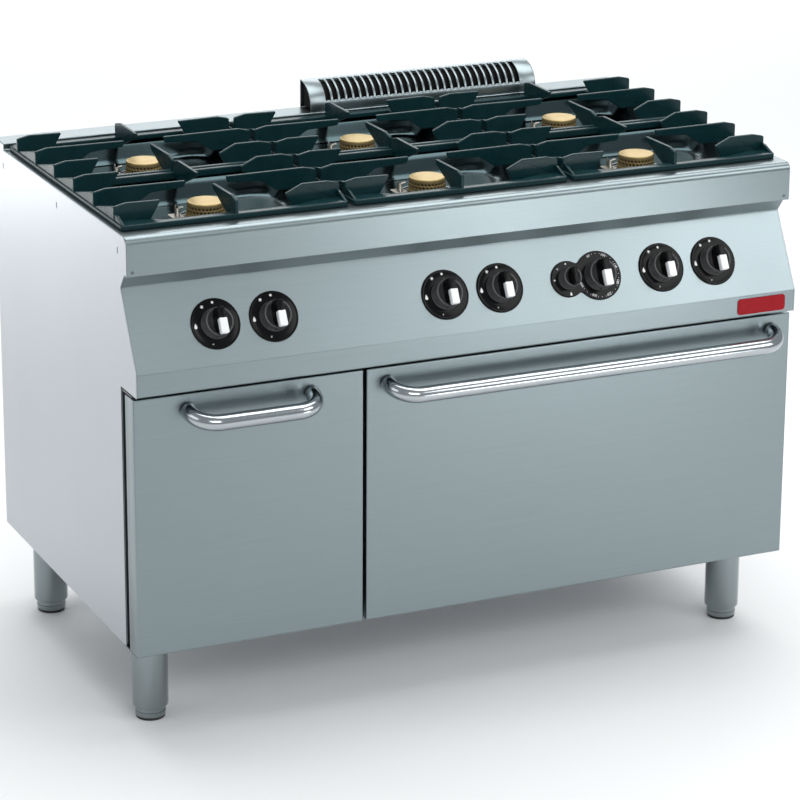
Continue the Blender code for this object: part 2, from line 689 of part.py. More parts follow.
def make_knobs(black):
    bezel = ring(
        circle(0, 0, BEZEL_R, 20),
        circle(0, 0, SPINDLE_HOLE_R, 20),
        GAP,
        BEZEL_THICK,
        lambda a, b, level: (a, b, level),
    )
    rise = BEZEL_THICK + GAP
    burner_knob = knob_mesh(KNOB_R, KNOB_SKIRT_H, KNOB_GRIP_H, rise)
    tilt = (PANEL_ANGLE, 0, 0)
    for name, x in KNOBS:
        place(f"knob_bezel_{name}", smooth(bezel), black, on_panel(x), tilt)
        place(f"burner_knob_{name}", burner_knob, black, on_panel(x), tilt)
    lobes = (
        (OVEN_VALVE_X, OVEN_VALVE_LOBE_R, GAP, BEZEL_THICK),
        (OVEN_DIAL_X, BEZEL_R, GAP + 0.0002, BEZEL_THICK - 0.0002),
    )
    discs = [prism_z(circle(x - OVEN_DIAL_X, 0, r, 20), low, high) for x, r, low, high in lobes]
    plate = union(discs)
    offsets = [x - OVEN_DIAL_X for x, *_ in lobes]
    holes = [rod((x, 0, -CUT_PAST), (x, 0, CUT_PAST), SPINDLE_HOLE_R) for x in offsets]
    place("oven_dial_plate", smooth(cut(plate, holes)), black, on_panel(OVEN_DIAL_X), tilt)
    small = knob_mesh(OVEN_VALVE_KNOB_R, KNOB_SKIRT_H, KNOB_GRIP_H - 0.004, rise)
    place("oven_valve_knob", small, black, on_panel(OVEN_VALVE_X), tilt)
    dial = knob_mesh(KNOB_R + 0.001, KNOB_SKIRT_H, KNOB_GRIP_H, rise)
    place("oven_thermostat_knob", dial, black, on_panel(OVEN_DIAL_X), tilt)


def tray(x0, x1):
    """A door's outer skin: a sheet with all four edges folded back, open behind."""
    whole = box((x0, DOOR_Y, DOOR_BOTTOM_Z), (x1, DOOR_BACK_Y, DOOR_TOP_Z))
    hollow = box(
        (x0 + SHEET, DOOR_Y + SHEET, DOOR_BOTTOM_Z + SHEET),
        (x1 - SHEET, DOOR_BACK_Y + CUT_PAST, DOOR_TOP_Z - SHEET),
    )
    return cut(whole, [hollow])


def handle(name, x, half, look, origin):
    """A bent tube: straight out of the door, a quarter turn, along the door, and back."""
    reach = (HANDLE_REACH - HANDLE_R) / math.cos(HANDLE_TILT)
    out = Vector((0, -math.cos(HANDLE_TILT), -math.sin(HANDLE_TILT)))
    points = [(-half, 0)]
    bends = ((-half + HANDLE_BEND_R, math.pi, math.pi / 2), (half - HANDLE_BEND_R, math.pi / 2, 0))
    for centre, start, end in bends:
        for i in range(7):
            angle = start + (end - start) * i / 6
            along = centre + HANDLE_BEND_R * math.cos(angle)
            points.append((along, reach - HANDLE_BEND_R + HANDLE_BEND_R * math.sin(angle)))
    points.append((half, 0))
    root = Vector((x, DOOR_Y - GAP, HANDLE_Z))
    curve = bpy.data.curves.new(name, "CURVE")
    curve.dimensions = "3D"
    curve.bevel_depth = HANDLE_R
    curve.bevel_resolution = 3
    curve.use_fill_caps = True
    spline = curve.splines.new("POLY")
    spline.points.add(len(points) - 1)
    for point, (along, off) in zip(spline.points, points):
        flat = off if off else HANDLE_R * math.tan(HANDLE_TILT)
        place_at = root + Vector((along, 0, 0)) + out * flat - Vector(origin)
        point.co = (*place_at, 1)
    place(name, curve, look, origin)


def make_oven_door(steel, polished, enamel):
    origin = (OVEN_X, HINGE_Y, OVEN_HINGE_Z)
    skin = tray(SPLIT_RIGHT_X, RIGHT_X)
    start, end = SPLIT_RIGHT_X - CUT_PAST, RIGHT_X + CUT_PAST
    bore = rod((start, *origin[1:]), (end, *origin[1:]), HINGE_ROD_R + RUN_CLEARANCE)
    notch_half = HINGE_PLATE / 2 + 0.002
    notches = [
        box(
            (x - notch_half, HINGE_Y - HINGE_ARM_HALF - 0.003, DOOR_BOTTOM_Z - CUT_PAST),
            (x + notch_half, DOOR_BACK_Y + CUT_PAST, DOOR_BOTTOM_Z + 2 * SHEET),
        )
        for x in HINGE_ARMS_X
    ]
    skin = cut(skin, [bore] + notches)
    place("oven_door_panel", moved(skin, -Vector(origin)), steel, origin)
    inset = SHEET + LINER_GAP
    plate = box(
        (SPLIT_RIGHT_X + inset, DOOR_BACK_Y - SHEET, OVEN_HINGE_Z + HINGE_INSET - inset),
        (RIGHT_X - inset, DOOR_BACK_Y, DOOR_TOP_Z - inset),
    )
    beyond = GASKET_WIDTH + LINER_OVERLAP
    half = OVEN_INNER[0] / 2 + beyond
    low_z, high_z = OVEN_INNER_BOTTOM_Z - beyond, OVEN_INNER_TOP_Z + beyond
    back = DOOR_BACK_Y + LINER_THICK
    bulge = box((OVEN_X - half, DOOR_BACK_Y - SHEET / 2, low_z), (OVEN_X + half, back, high_z))
    hollow = box(
        (OVEN_X - half + SHEET, DOOR_BACK_Y - CUT_PAST, low_z + SHEET),
        (OVEN_X + half - SHEET, back - SHEET, high_z - SHEET),
    )
    liner = cut(union([plate, bulge]), [hollow])
    place("oven_door_liner", moved(liner, -Vector(origin)), enamel, origin)
    handle("oven_door_handle", OVEN_X, OVEN_HANDLE_HALF, polished, origin)


def make_hinges(dark):
    """The rod that each door turns on, with the plates that carry it from the body."""
    left, right = SPLIT_RIGHT_X + GAP, RIGHT_X - GAP
    pieces = [rod((left, HINGE_Y, OVEN_HINGE_Z), (right, HINGE_Y, OVEN_HINGE_Z), HINGE_ROD_R)]
    for x in HINGE_ARMS_X:
        pieces.append(
            box(
                (x - HINGE_PLATE / 2, HINGE_Y - HINGE_ARM_HALF, OVEN_HINGE_Z - HINGE_ARM_HALF),
                (x + HINGE_PLATE / 2, BODY_FRONT_Y - GAP, OVEN_HINGE_Z + HINGE_ARM_HALF),
            )
        )
    place("oven_door_hinge", union(pieces), dark)
    x0, x1 = LEFT_X + SHEET + GAP, CABINET_HINGE_X + 0.010
    y0 = HINGE_Y - 0.008
    low_z = DOOR_BOTTOM_Z - GAP - HINGE_PLATE
    high_z = DOOR_TOP_Z + 0.001
    foot = box((x0, BODY_FRONT_Y + 0.002, low_z + 0.0005), (x1 - 0.004, BODY_FRONT_Y + 0.016, BASE_Z - GAP))
    bottom = box((x0, y0, low_z), (x1, BODY_FRONT_Y + 0.012, DOOR_BOTTOM_Z - GAP))
    top = box((x0, y0, high_z), (x1, BODY_FRONT_Y - 0.001, high_z + HINGE_PLATE))
    pin_top = (CABINET_HINGE_X, HINGE_Y, high_z + 0.002)
    pin = rod((CABINET_HINGE_X, HINGE_Y, low_z + 0.001), pin_top, HINGE_ROD_R)
    place("cabinet_door_hinge", union([bottom, foot, top, pin]), dark)


def make_cabinet_door(steel, polished):
    origin = (CABINET_HINGE_X, HINGE_Y, DOOR_BOTTOM_Z)
    skin = tray(LEFT_X, SPLIT_LEFT_X)
    bore = rod(
        (CABINET_HINGE_X, HINGE_Y, DOOR_BOTTOM_Z - CUT_PAST),
        (CABINET_HINGE_X, HINGE_Y, DOOR_TOP_Z + CUT_PAST),
        HINGE_ROD_R + RUN_CLEARANCE,
    )
    skin = cut(skin, [bore])
    place("cabinet_door_panel", moved(skin, -Vector(origin)), steel, origin)
    handle("cabinet_door_handle", CABINET_X, CABINET_HANDLE_HALF, polished, origin)


def make_oven(enamel, dark, wire):
    wall = SHEET
    x0, x1 = OVEN_LEFT_X, OVEN_RIGHT_X
    z0, z1 = OVEN_INNER_BOTTOM_Z, OVEN_INNER_TOP_Z
    y0, y1 = BODY_FRONT_Y, OVEN_BACK_Y
    shell = box((x0 - wall, y0 + wall / 2, z0 - wall), (x1 + wall, y1, z1 + wall))
    flange = box(
        (DOOR_SPLIT_X + SHEET / 2 + GAP, y0, BASE_TOP_Z + GAP),
        (RIGHT_X - SHEET - GAP, y0 + wall, BAND_BOTTOM_Z - GAP),
    )
    hollow = box((x0, y0 - CUT_PAST, z0), (x1, y1 - wall, z1))
    outlet = box(
        (FLUE_X - DUCT_WIDTH / 4 + SHEET, y1 - 2 * wall, FLUE_NECK_Z + SHEET),
        (FLUE_X + DUCT_WIDTH / 4 - SHEET, y1 + CUT_PAST, FLUE_NECK_Z + DUCT_NECK_H - SHEET),
    )
    shell = cut(union([shell, flange]), [hollow])
    rails = []
    for level in (OVEN_FLOOR_Z, RACK_Z):
        for x_low, x_high in ((x0 - wall / 2, x0 + RAIL_DEPTH), (x1 - RAIL_DEPTH, x1 + wall / 2)):
            low = (x_low, y0 + SHELF_FRONT_GAP - 0.005, level - 0.003)
            rails.append(box(low, (x_high, y1 - 0.030, level - GAP)))
    shell = cut(union([shell] + rails), [outlet])
    place("oven_chamber", shell, enamel)
    gasket_half_x = OVEN_INNER[0] / 2 + 0.002
    gasket_half_z = OVEN_INNER[1] / 2 + 0.002
    middle_z = (z0 + z1) / 2
    gasket = ring(
        rounded_rectangle(gasket_half_x + GASKET_WIDTH, gasket_half_z + GASKET_WIDTH, 0.014),
        rounded_rectangle(gasket_half_x, gasket_half_z, 0.004),
        y0 - GAP - GASKET_THICK,
        y0 - GAP,
        lambda a, b, level: (OVEN_X + a, level, middle_z + b),
    )
    place("oven_door_gasket", gasket, dark)
    shelf = (x0 + SHELF_SIDE_GAP, x1 - SHELF_SIDE_GAP, y0 + SHELF_FRONT_GAP, y1 - SHELF_BACK_GAP)
    make_oven_floor(*shelf, enamel)
    make_oven_burner(x0, x1, y0, y1, dark)
    make_oven_rack(*shelf, wire)


def make_oven_floor(x0, x1, y0, y1, enamel):
    """The plate over the oven's burner, with a finger hole near the front and a hot-air slot at each side."""
    plate = box((x0, y0, OVEN_FLOOR_Z), (x1, y1, OVEN_FLOOR_Z + 0.003))
    low, high = OVEN_FLOOR_Z - CUT_PAST, OVEN_FLOOR_Z + CUT_PAST
    hole_y = y0 + 0.035
    cutters = [rod((OVEN_X, hole_y, low), (OVEN_X, hole_y, high), 0.012)]
    for x in (x0 + 0.046, x1 - 0.046):
        cutters.append(box((x - 0.004, y0 + 0.075, low), (x + 0.004, y1 - 0.065, high)))
    place("oven_floor_plate", cut(plate, cutters), enamel)


def make_oven_burner(x0, x1, y0, y1, dark):
    """A looped tube burner under the oven's floor plate."""
    curve = bpy.data.curves.new("oven_burner", "CURVE")
    curve.dimensions = "3D"
    curve.bevel_depth = 0.012
    curve.bevel_resolution = 2
    curve.use_fill_caps = True
    z = OVEN_INNER_BOTTOM_Z + 0.016
    left, right, near, far, bend = x0 + 0.12, x1 - 0.12, y0 + 0.10, y1 - 0.08, 0.05
    route = [(left, far)]
    route += [
        (left + bend - bend * math.cos(a), near + bend - bend * math.sin(a))
        for a in [math.pi / 2 * i / 4 for i in range(5)]
    ]
    route += [
        (right - bend + bend * math.sin(a), near + bend - bend * math.cos(a))
        for a in [math.pi / 2 * i / 4 for i in range(5)]
    ]
    route.append((right, far))
    spline = curve.splines.new("POLY")
    spline.points.add(len(route) - 1)
    for point, (x, y) in zip(spline.points, route):
        point.co = (x, y, z, 1)
    place("oven_burner", curve, dark)


def make_oven_rack(x0, x1, y0, y1, wire):
    """A frame of bars with wires from front to back and one under their middle."""
    bar, z0 = RACK_BAR, RACK_Z
    outline = ring(
        [(x0, y0), (x1, y0), (x1, y1), (x0, y1)],
        [(x0 + bar, y0 + bar), (x1 - bar, y0 + bar), (x1 - bar, y1 - bar), (x0 + bar, y1 - bar)],
        z0,
        z0 + bar,
        lambda a, b, level: (a, b, level),
    )
    pieces = [outline]
    for i in range(RACK_WIRES):
        x = x0 + (x1 - x0) * (i + 1) / (RACK_WIRES + 1)
        pieces.append(
            box((x - RACK_WIRE / 2, y0 + bar / 2, z0 + 0.002), (x + RACK_WIRE / 2, y1 - bar / 2, z0 + 0.007))
        )
    middle = (y0 + y1) / 2
    pieces.append(box((x0 + bar / 2, middle - 0.003, z0 + 0.001), (x1 - bar / 2, middle + 0.003, z0 + 0.006)))
    place("oven_rack", union(pieces), wire)


def make_legs(steel, dark):
    """A capped tube at each corner, with an adjusting foot that screws up into it."""
    top, chamfer = BASE_Z - GAP, 0.001
    inner_r = LEG_R - LEG_WALL
    shell = turned([(LEG_R - chamfer, LEG_END_Z), (LEG_R, LEG_END_Z + chamfer), (LEG_R, top)])
    hollow = turned([(inner_r, LEG_END_Z - CUT_PAST), (inner_r, top - LEG_WALL)])
    tube_mesh = smooth(cut(shell, [hollow]))
    edge = 0.002
    foot = [(FOOT_R - edge, 0), (FOOT_R, edge), (FOOT_R, FOOT_HEIGHT - edge), (FOOT_R - edge, FOOT_HEIGHT)]
    foot_mesh = smooth(turned(foot))
    for name, x, y in LEGS:
        place(f"leg_tube_{name}", tube_mesh, steel, (x, y, 0))
        place(f"adjusting_foot_{name}", foot_mesh, dark, (x, y, 0))


def main():
    clear_scene()
    steel = material("brushed_steel", (0.48, 0.54, 0.56), 0.32, 1.0)
    polished = material("polished_steel", (0.72, 0.74, 0.75), 0.15, 1.0)
    iron = material("enamelled_cast_iron", (0.010, 0.040, 0.045), 0.35, 0.0)
    brass = material("brass", (0.66, 0.50, 0.22), 0.42, 1.0)
    black = material("black_plastic", (0.012, 0.012, 0.013), 0.22, 0.0)
    enamel = material("oven_enamel", (0.035, 0.035, 0.040), 0.30, 0.0)
    dark = material("dark_steel", (0.10, 0.10, 0.105), 0.45, 0.8)
    wire = material("chromed_wire", (0.60, 0.61, 0.62), 0.20, 1.0)
    make_casing(steel)
    make_control_panel(steel)
    make_worktop(steel)
    make_flue(steel)
    make_flue_grille(steel)
    make_burners(iron, brass)
    make_pan_supports(iron)
    make_gas_manifold(brass)
    make_knobs(black)
    make_oven(enamel, dark, wire)
    make_oven_door(steel, polished, enamel)
    make_cabinet_door(steel, polished)
    make_hinges(dark)
    make_legs(steel, dark)


main()
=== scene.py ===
"""Looks of the six-burner gas range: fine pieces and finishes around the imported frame. Metres, +Z up."""

import json
import math

import bmesh
import bpy
import numpy as np
from mathutils import Matrix, Vector


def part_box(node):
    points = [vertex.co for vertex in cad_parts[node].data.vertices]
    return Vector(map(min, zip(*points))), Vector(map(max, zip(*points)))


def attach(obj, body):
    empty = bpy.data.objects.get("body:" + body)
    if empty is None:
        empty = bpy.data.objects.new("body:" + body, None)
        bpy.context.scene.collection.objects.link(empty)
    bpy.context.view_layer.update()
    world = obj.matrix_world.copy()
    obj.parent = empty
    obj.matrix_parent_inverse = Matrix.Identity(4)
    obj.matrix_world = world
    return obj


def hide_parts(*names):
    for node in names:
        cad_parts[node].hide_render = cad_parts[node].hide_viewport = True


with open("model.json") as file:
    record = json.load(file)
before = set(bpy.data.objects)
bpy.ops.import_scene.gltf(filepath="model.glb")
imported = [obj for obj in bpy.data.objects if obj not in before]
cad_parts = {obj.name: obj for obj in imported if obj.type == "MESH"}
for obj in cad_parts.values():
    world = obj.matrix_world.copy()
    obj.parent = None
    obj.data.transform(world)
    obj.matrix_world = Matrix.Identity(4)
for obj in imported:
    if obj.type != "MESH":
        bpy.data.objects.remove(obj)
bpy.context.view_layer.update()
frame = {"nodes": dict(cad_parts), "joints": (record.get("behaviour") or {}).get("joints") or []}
NODES = frame["nodes"]


def box_of(node):
    """The low and the high corner of a node's box."""
    low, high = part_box(node)
    return np.array(low), np.array(high)


# ---------------------------------------------------------------- shader maths


class Value:
    """A socket that carries a number, with operators that add Math nodes."""

    def __init__(self, graph, socket):
        self.graph, self.socket = graph, socket

    def _math(self, operation, other):
        node = self.graph.tree.nodes.new("ShaderNodeMath")
        node.operation = operation
        for slot, item in zip(node.inputs, (self, other)):
            self.graph.feed(slot, item)
        return Value(self.graph, node.outputs[0])

    def __add__(self, other):
        return self._math("ADD", other)

    def __sub__(self, other):
        return self._math("SUBTRACT", other)

    def __mul__(self, other):
        return self._math("MULTIPLY", other)

    def clamp(self, low=0.0, high=1.0):
        return self._math("MAXIMUM", low)._math("MINIMUM", high)


class Graph:
    """One material's nodes. node() adds any node: its settings first, then its sockets."""

    def __init__(self, name, **constants):
        self.material = bpy.data.materials.new(name)
        self.material.use_nodes = True
        self.tree = self.material.node_tree
        self.shader = self.tree.nodes["Principled BSDF"]
        for socket, value in constants.items():
            self.shader.inputs[socket.replace("_", " ")].default_value = value

    def feed(self, slot, item):
        if isinstance(item, Value):
            self.tree.links.new(item.socket, slot)
        elif isinstance(item, bpy.types.NodeSocket):
            self.tree.links.new(item, slot)
        else:
            slot.default_value = item

    def node(self, kind, settings=None, **sockets):
        made = self.tree.nodes.new("ShaderNode" + kind)
        for name, value in (settings or {}).items():
            setattr(made, name, value)
        for name, item in sockets.items():
            self.feed(made.inputs[name], item)
        return made

    def object_space(self, scale=(1, 1, 1)):
        place = self.node("TexCoord").outputs["Object"]
        return self.node("Mapping", Vector=place, Scale=scale).outputs[0]

    def noise(self, space, scale, detail=3.0, roughness=0.5):
        made = self.node("TexNoise", Vector=space, Scale=scale, Detail=detail, Roughness=roughness)
        return Value(self, made.outputs[0])

    def attribute(self, name):
        return Value(self, self.node("Attribute", {"attribute_name": name}).outputs["Fac"])

    def blend(self, factor, first, second):
        """Two colours mixed by a value."""
        made = self.node("Mix", {"data_type": "RGBA"})
        for slot, item in ((0, factor), (6, first), (7, second)):
            self.feed(made.inputs[slot], (*item, 1) if isinstance(item, tuple) else item)
        return made.outputs[2]

    def bump(self, height, strength, distance):
        made = self.node("Bump", Height=height, Strength=strength, Distance=distance)
        self.feed(self.shader.inputs["Normal"], made.outputs[0])

    def set(self, socket, item):
        self.feed(self.shader.inputs[socket], item)


ALONG_X, ALONG_Z = (6, 900, 900), (900, 900, 6)


def brushed(name, colour, rough, grain, grain_scale=ALONG_X):
    """Steel rubbed along one axis: long fine streaks in tone, gloss and height, and slow smudges over them."""
    spread, tone = 0.06, 0.10
    g = Graph(name, Metallic=1.0)
    streak = g.noise(g.object_space(grain_scale), 1.0, 2.0)
    cloud = g.noise(g.object_space(), 3.2, 2.0)
    fine = g.noise(g.object_space(tuple(4 * s for s in grain_scale)), 1.0, 1.0)
    mask = (streak * 0.6 + fine * 0.4).clamp()
    dark = tuple(c * (1 - tone) for c in colour)
    light = tuple(min(1, c * (1 + tone)) for c in colour)
    g.set("Base Color", g.blend(mask, dark, light))
    g.set("Roughness", ((streak - 0.5) * spread + (cloud - 0.5) * 0.10 + rough).clamp(0.05, 1))
    g.bump(mask, grain, 0.0004)
    return g.material


def polished_tube(name):
    """Polished steel with faint drawing lines along X."""
    g = Graph(name, Metallic=1.0)
    streak = g.noise(g.object_space((20, 700, 700)), 1.0, 2.0)
    cloud = g.noise(g.object_space(), 9.0, 2.0)
    g.set("Base Color", g.blend(cloud, (0.40, 0.43, 0.45), (0.50, 0.53, 0.55)))
    g.set("Roughness", (streak - 0.5) * 0.08 + (cloud - 0.5) * 0.06 + 0.16)
    g.bump(streak, 0.05, 0.0003)
    return g.material


def enamel_iron(name, low, high, rough):
    """Glossy enamel over cast iron: slightly wavy, with pinhead texture and slow tone changes."""
    g = Graph(name, Metallic=0.0, IOR=1.52, Specular_IOR_Level=0.22)
    space = g.object_space()
    grain = g.noise(space, 420.0, 3.0, 0.6)
    wave = g.noise(space, 38.0, 2.0)
    g.set("Base Color", g.blend(wave, low, high))
    g.set("Roughness", (grain - 0.5) * 0.16 + (wave - 0.5) * 0.12 + rough)
    g.bump(grain * 0.5 + wave, 0.22, 0.0012)
    return g.material


def cast_brass(name):
    """Matt cast brass: sandy surface, with painted shade darkening its drilled holes, and darker over the cap's
    side wall.
    """
    g = Graph(name, Metallic=0.85)
    space = g.object_space()
    sand = g.noise(space, 900.0, 3.0, 0.6)
    stain = g.noise(space, 55.0, 3.0)
    # hole_and_shade carries painted shade for the holes' dark insides and the darker side wall.
    hole_and_shade = g.attribute("hole_and_shade")
    metal = g.blend(stain, (0.40, 0.29, 0.12), (0.53, 0.41, 0.20))
    g.set("Base Color", g.blend(hole_and_shade.clamp(), metal, (0.035, 0.022, 0.012)))
    g.set("Roughness", (sand - 0.5) * 0.2 + hole_and_shade * 0.3 + 0.46)
    g.bump(sand, 0.25, 0.0005)
    return g.material


def plastic(name, low, high, rough, specular=0.5):
    """Moulded plastic, paint or rubber: a fine grain and a slow change of tone."""
    g = Graph(name, Metallic=0.0, IOR=1.5, Specular_IOR_Level=specular)
    space = g.object_space()
    grain = g.noise(space, 1400.0, 2.0)
    cloud = g.noise(space, 60.0, 2.0)
    g.set("Base Color", g.blend(cloud, low, high))
    g.set("Roughness", (grain - 0.5) * 0.10 + (cloud - 0.5) * 0.08 + rough)
    g.bump(grain, 0.06, 0.0002)
    return g.material


STEEL = brushed("satin_steel", (0.245, 0.292, 0.305), 0.32, 0.06)
STEEL_UPRIGHT = brushed("satin_steel_upright", (0.27, 0.315, 0.33), 0.34, 0.06, ALONG_Z)
# Painted shade and reflection: the wells are the worktop's own steel made far darker, standing in for the dark
# pan supports they reflect and the shade under them.
WELL_SHADE_STEEL = brushed("well_steel_painted_shade", (0.055, 0.082, 0.088), 0.17, 0.05)
# Painted light: a much lighter copy of the front's brushed steel for the sides, standing in for the light that
# falls on them; the back, base and partition share it.
SIDE_STEEL = brushed("side_steel_painted_light", (0.45, 0.475, 0.50), 0.34, 0.05, ALONG_Z)
TUBE_STEEL = polished_tube("polished_tube")
ENAMEL = enamel_iron("green_black_enamel", (0.003, 0.022, 0.026), (0.007, 0.034, 0.039), 0.30)
OVEN_ENAMEL = enamel_iron("oven_enamel", (0.018, 0.018, 0.021), (0.034, 0.034, 0.038), 0.30)
CAST_IRON = enamel_iron("burner_casting", (0.10, 0.105, 0.11), (0.17, 0.175, 0.18), 0.48)
BRASS = cast_brass("cast_brass")
BLACK = plastic("black_phenolic", (0.0025, 0.0025, 0.003), (0.006, 0.006, 0.0065), 0.16, 0.12)
KNOB_GREY = plastic("knob_skirt", (0.035, 0.035, 0.036), (0.075, 0.076, 0.078), 0.36)
MARK_WHITE = plastic("white_marking", (0.84, 0.84, 0.84), (0.92, 0.92, 0.92), 0.45)
RED_PLATE = plastic("red_plate", (0.27, 0.003, 0.008), (0.32, 0.006, 0.012), 0.30, 0.15)
RUBBER = plastic("seal_rubber", (0.012, 0.012, 0.012), (0.028, 0.028, 0.028), 0.62)
# Painted shade: a near-black sheet behind the flue's slots that makes them read dark.
SLOT_SHADE = plastic("slot_shade_sheet", (0.003, 0.003, 0.003), (0.007, 0.007, 0.007), 0.8, 0.1)
# Painted light: a lighter, rougher copy of the satin steel for the undercut below the nose, set to the brightness
# of that shaded strip.
SHADED_STEEL = brushed("undercut_steel_painted_light", (0.27, 0.32, 0.335), 0.60, 0.04)
DARK_STEEL = brushed("dark_steel", (0.16, 0.165, 0.17), 0.42, 0.06)
LEG_STEEL = brushed("leg_steel", (0.27, 0.305, 0.315), 0.14, 0.05, (700, 700, 8))
PILOT_METAL = brushed("pilot_metal", (0.36, 0.34, 0.30), 0.38, 0.05, (300, 300, 300))
# Painted highlight: the pale patch at the lower end of each knob's grip stands for the light on the grip's lower
# bevel.
GRIP_HIGHLIGHT = plastic("pale_pointer", (0.78, 0.79, 0.80), (0.88, 0.89, 0.90), 0.30)
WIRE = polished_tube("chromed_wire")


# ---------------------------------------------------------------- surfaces


def mesh_of(name, points, faces):
    """A mesh from computed points and faces."""
    mesh = bpy.data.meshes.new(name)
    mesh.from_pydata(np.asarray(points, float).tolist(), [], [tuple(f) for f in faces])
    return mesh


def linked(name, data):
    """A new object in the scene."""
    made = bpy.data.objects.new(name, data)
    bpy.context.scene.collection.objects.link(made)
    return made


def on_body(made, body, stands_for=()):
    """Lets an object ride on its body and hides the nodes it stands for."""
    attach(made, body)
    if stands_for:
        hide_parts(*stands_for)
    return made


def evaluated(made):
    """An object's mesh with its modifiers applied."""
    bpy.context.view_layer.update()
    return bpy.data.meshes.new_from_object(made.evaluated_get(bpy.context.evaluated_depsgraph_get()))


def thickened(name, mesh, thickness):
    """An open sheet given its thickness, on its inner side."""
    made = linked(name, mesh)
    shell = made.modifiers.new("thickness", "SOLIDIFY")
    shell.thickness = thickness
    shell.offset = -1
    return made


def piece(name, points, faces, material, body, slot, stands_for=(), angle=40, attributes=None):
    """Puts a computed surface into the scene, riding on its body."""
    mesh = mesh_of(name, points, faces)
    for key, values in (attributes or {}).items():
        data = mesh.attributes.new(key, "FLOAT", "POINT")
        data.data.foreach_set("value", np.asarray(values, np.float32))
    return finish_piece(name, mesh, material, body, stands_for, angle)


def finish_piece(name, mesh, material, body, stands_for=(), angle=40):
    """Cleans a mesh, gives it its finish or finishes, and puts it on its body."""
    work = bmesh.new()
    work.from_mesh(mesh)
    bmesh.ops.remove_doubles(work, verts=work.verts, dist=1e-6)
    bmesh.ops.recalc_face_normals(work, faces=work.faces)
    work.to_mesh(mesh)
    work.free()
    mesh.materials.clear()
    for item in material if isinstance(material, list) else [material]:
        mesh.materials.append(item)
    mesh.shade_smooth()
    mesh.set_sharp_from_angle(angle=math.radians(angle))
    return on_body(linked(name, mesh), body, stands_for)


def grid_faces(rows, columns, wrap_columns=False, wrap_rows=False, keep=None):
    """The quads of a grid of points, row by row."""
    r = np.arange(rows if wrap_rows else rows - 1)
    c = np.arange(columns if wrap_columns else columns - 1)
    r, c = np.meshgrid(r, c, indexing="ij")
    r2, c2 = (r + 1) % rows, (c + 1) % columns
    quads = [r * columns + c, r * columns + c2, r2 * columns + c2, r2 * columns + c]
    quads = np.stack(quads, -1).reshape(-1, 4)
    return quads if keep is None else quads[keep.reshape(-1)]


def merge(parts):
    """Joins (points, faces) pairs into one pair."""
    points, faces, base = [], [], 0
    for p, f in parts:
        points.append(np.asarray(p, float))
        faces += [tuple(int(i) + base for i in face) for face in f]
        base += len(p)
    return np.concatenate(points), faces


def rings(loops):
    """A surface through loops of equal count, as (points, faces), its two end loops filled."""
    loops = np.asarray(loops, float)
    rows, columns = loops.shape[:2]
    faces = [tuple(f) for f in grid_faces(rows, columns, wrap_columns=True)]
    faces.append(tuple(range(columns))[::-1])
    faces.append(tuple(range((rows - 1) * columns, rows * columns)))
    return loops.reshape(-1, 3), faces


def around(steps):
    """Evenly spaced angles of one full turn."""
    return np.linspace(0, 2 * np.pi, steps, endpoint=False)


def spun(r, z, t):
    """Radii and heights turned about Z by each angle: x = r cos t, y = r sin t."""
    return np.stack([r * np.cos(t), r * np.sin(t), z + 0 * t], -1)


def lathe(profile, steps=64):
    """Radius and height pairs turned about Z, closed at the axis."""
    profile = np.asarray(profile, float)
    return rings(spun(profile[:, :1], profile[:, 1:], around(steps)))


def tube_lathe(profile, steps=96):
    """lathe for a ring: its profile closes on itself instead of meeting the axis."""
    profile = np.asarray(profile, float)
    points = spun(profile[:, :1], profile[:, 1:], around(steps)).reshape(-1, 3)
    return points, grid_faces(len(profile), steps, wrap_columns=True, wrap_rows=True)


def placed(part, where, turn=None):
    """A part turned and then moved to its place."""
    points, faces = part
    points = np.asarray(points, float)
    if turn is not None:
        points = points @ np.array(turn).T
    return points + np.asarray(where, float), faces


def bend_arc(corner, before, after, radius, steps):
    """The arc that rounds a corner, the unit ways to the corner's neighbours, and how far along them the arc
    reaches; None where the path runs straight on or there is no radius."""
    a, b = before - corner, after - corner
    la, lb = np.linalg.norm(a), np.linalg.norm(b)
    a, b = a / la, b / lb
    half = math.acos(np.clip(a @ b, -1, 1)) / 2
    if radius <= 0 or half > math.pi / 2 - 0.02:
        return None
    reach = min(radius / math.tan(half), 0.45 * la, 0.45 * lb)
    r = reach * math.tan(half)
    centre = corner + (a + b) / np.linalg.norm(a + b) * r / math.sin(half)
    start, end = corner + a * reach - centre, corner + b * reach - centre
    turn = math.atan2(start[0] * end[1] - start[1] * end[0], start @ end)
    arc = []
    for k in range(steps + 1):
        t = turn * k / steps
        c, s = math.cos(t), math.sin(t)
        arc.append(centre + np.array([c * start[0] - s * start[1], s * start[0] + c * start[1]]))
    return arc, a, b, reach


def fillet(outline, radius, steps=4):
    """Rounds the corners of a closed 2-D outline with arcs; radius is one value or one for each corner."""
    path = np.asarray(outline, float)
    radii = np.broadcast_to(np.asarray(radius, float), (len(path),))
    out = []
    for i, (corner, r) in enumerate(zip(path, radii)):
        bend = bend_arc(corner, path[i - 1], path[(i + 1) % len(path)], r, steps)
        out += bend[0] if bend else [corner]
    return np.array(out)


def open_fillet(outline, radii, steps=4):
    """fillet for a path with two ends, with a short straight lead on each side of every bend."""
    path = np.asarray(outline, float)
    lead = 0.0006
    out = [path[0]]
    for i in range(1, len(path) - 1):
        corner = path[i]
        arc, a, b, reach = bend_arc(corner, path[i - 1], path[i + 1], radii[i], steps)
        out += [corner + a * (reach + lead), *arc, corner + b * (reach + lead)]
    out.append(path[-1])
    return np.array(out)


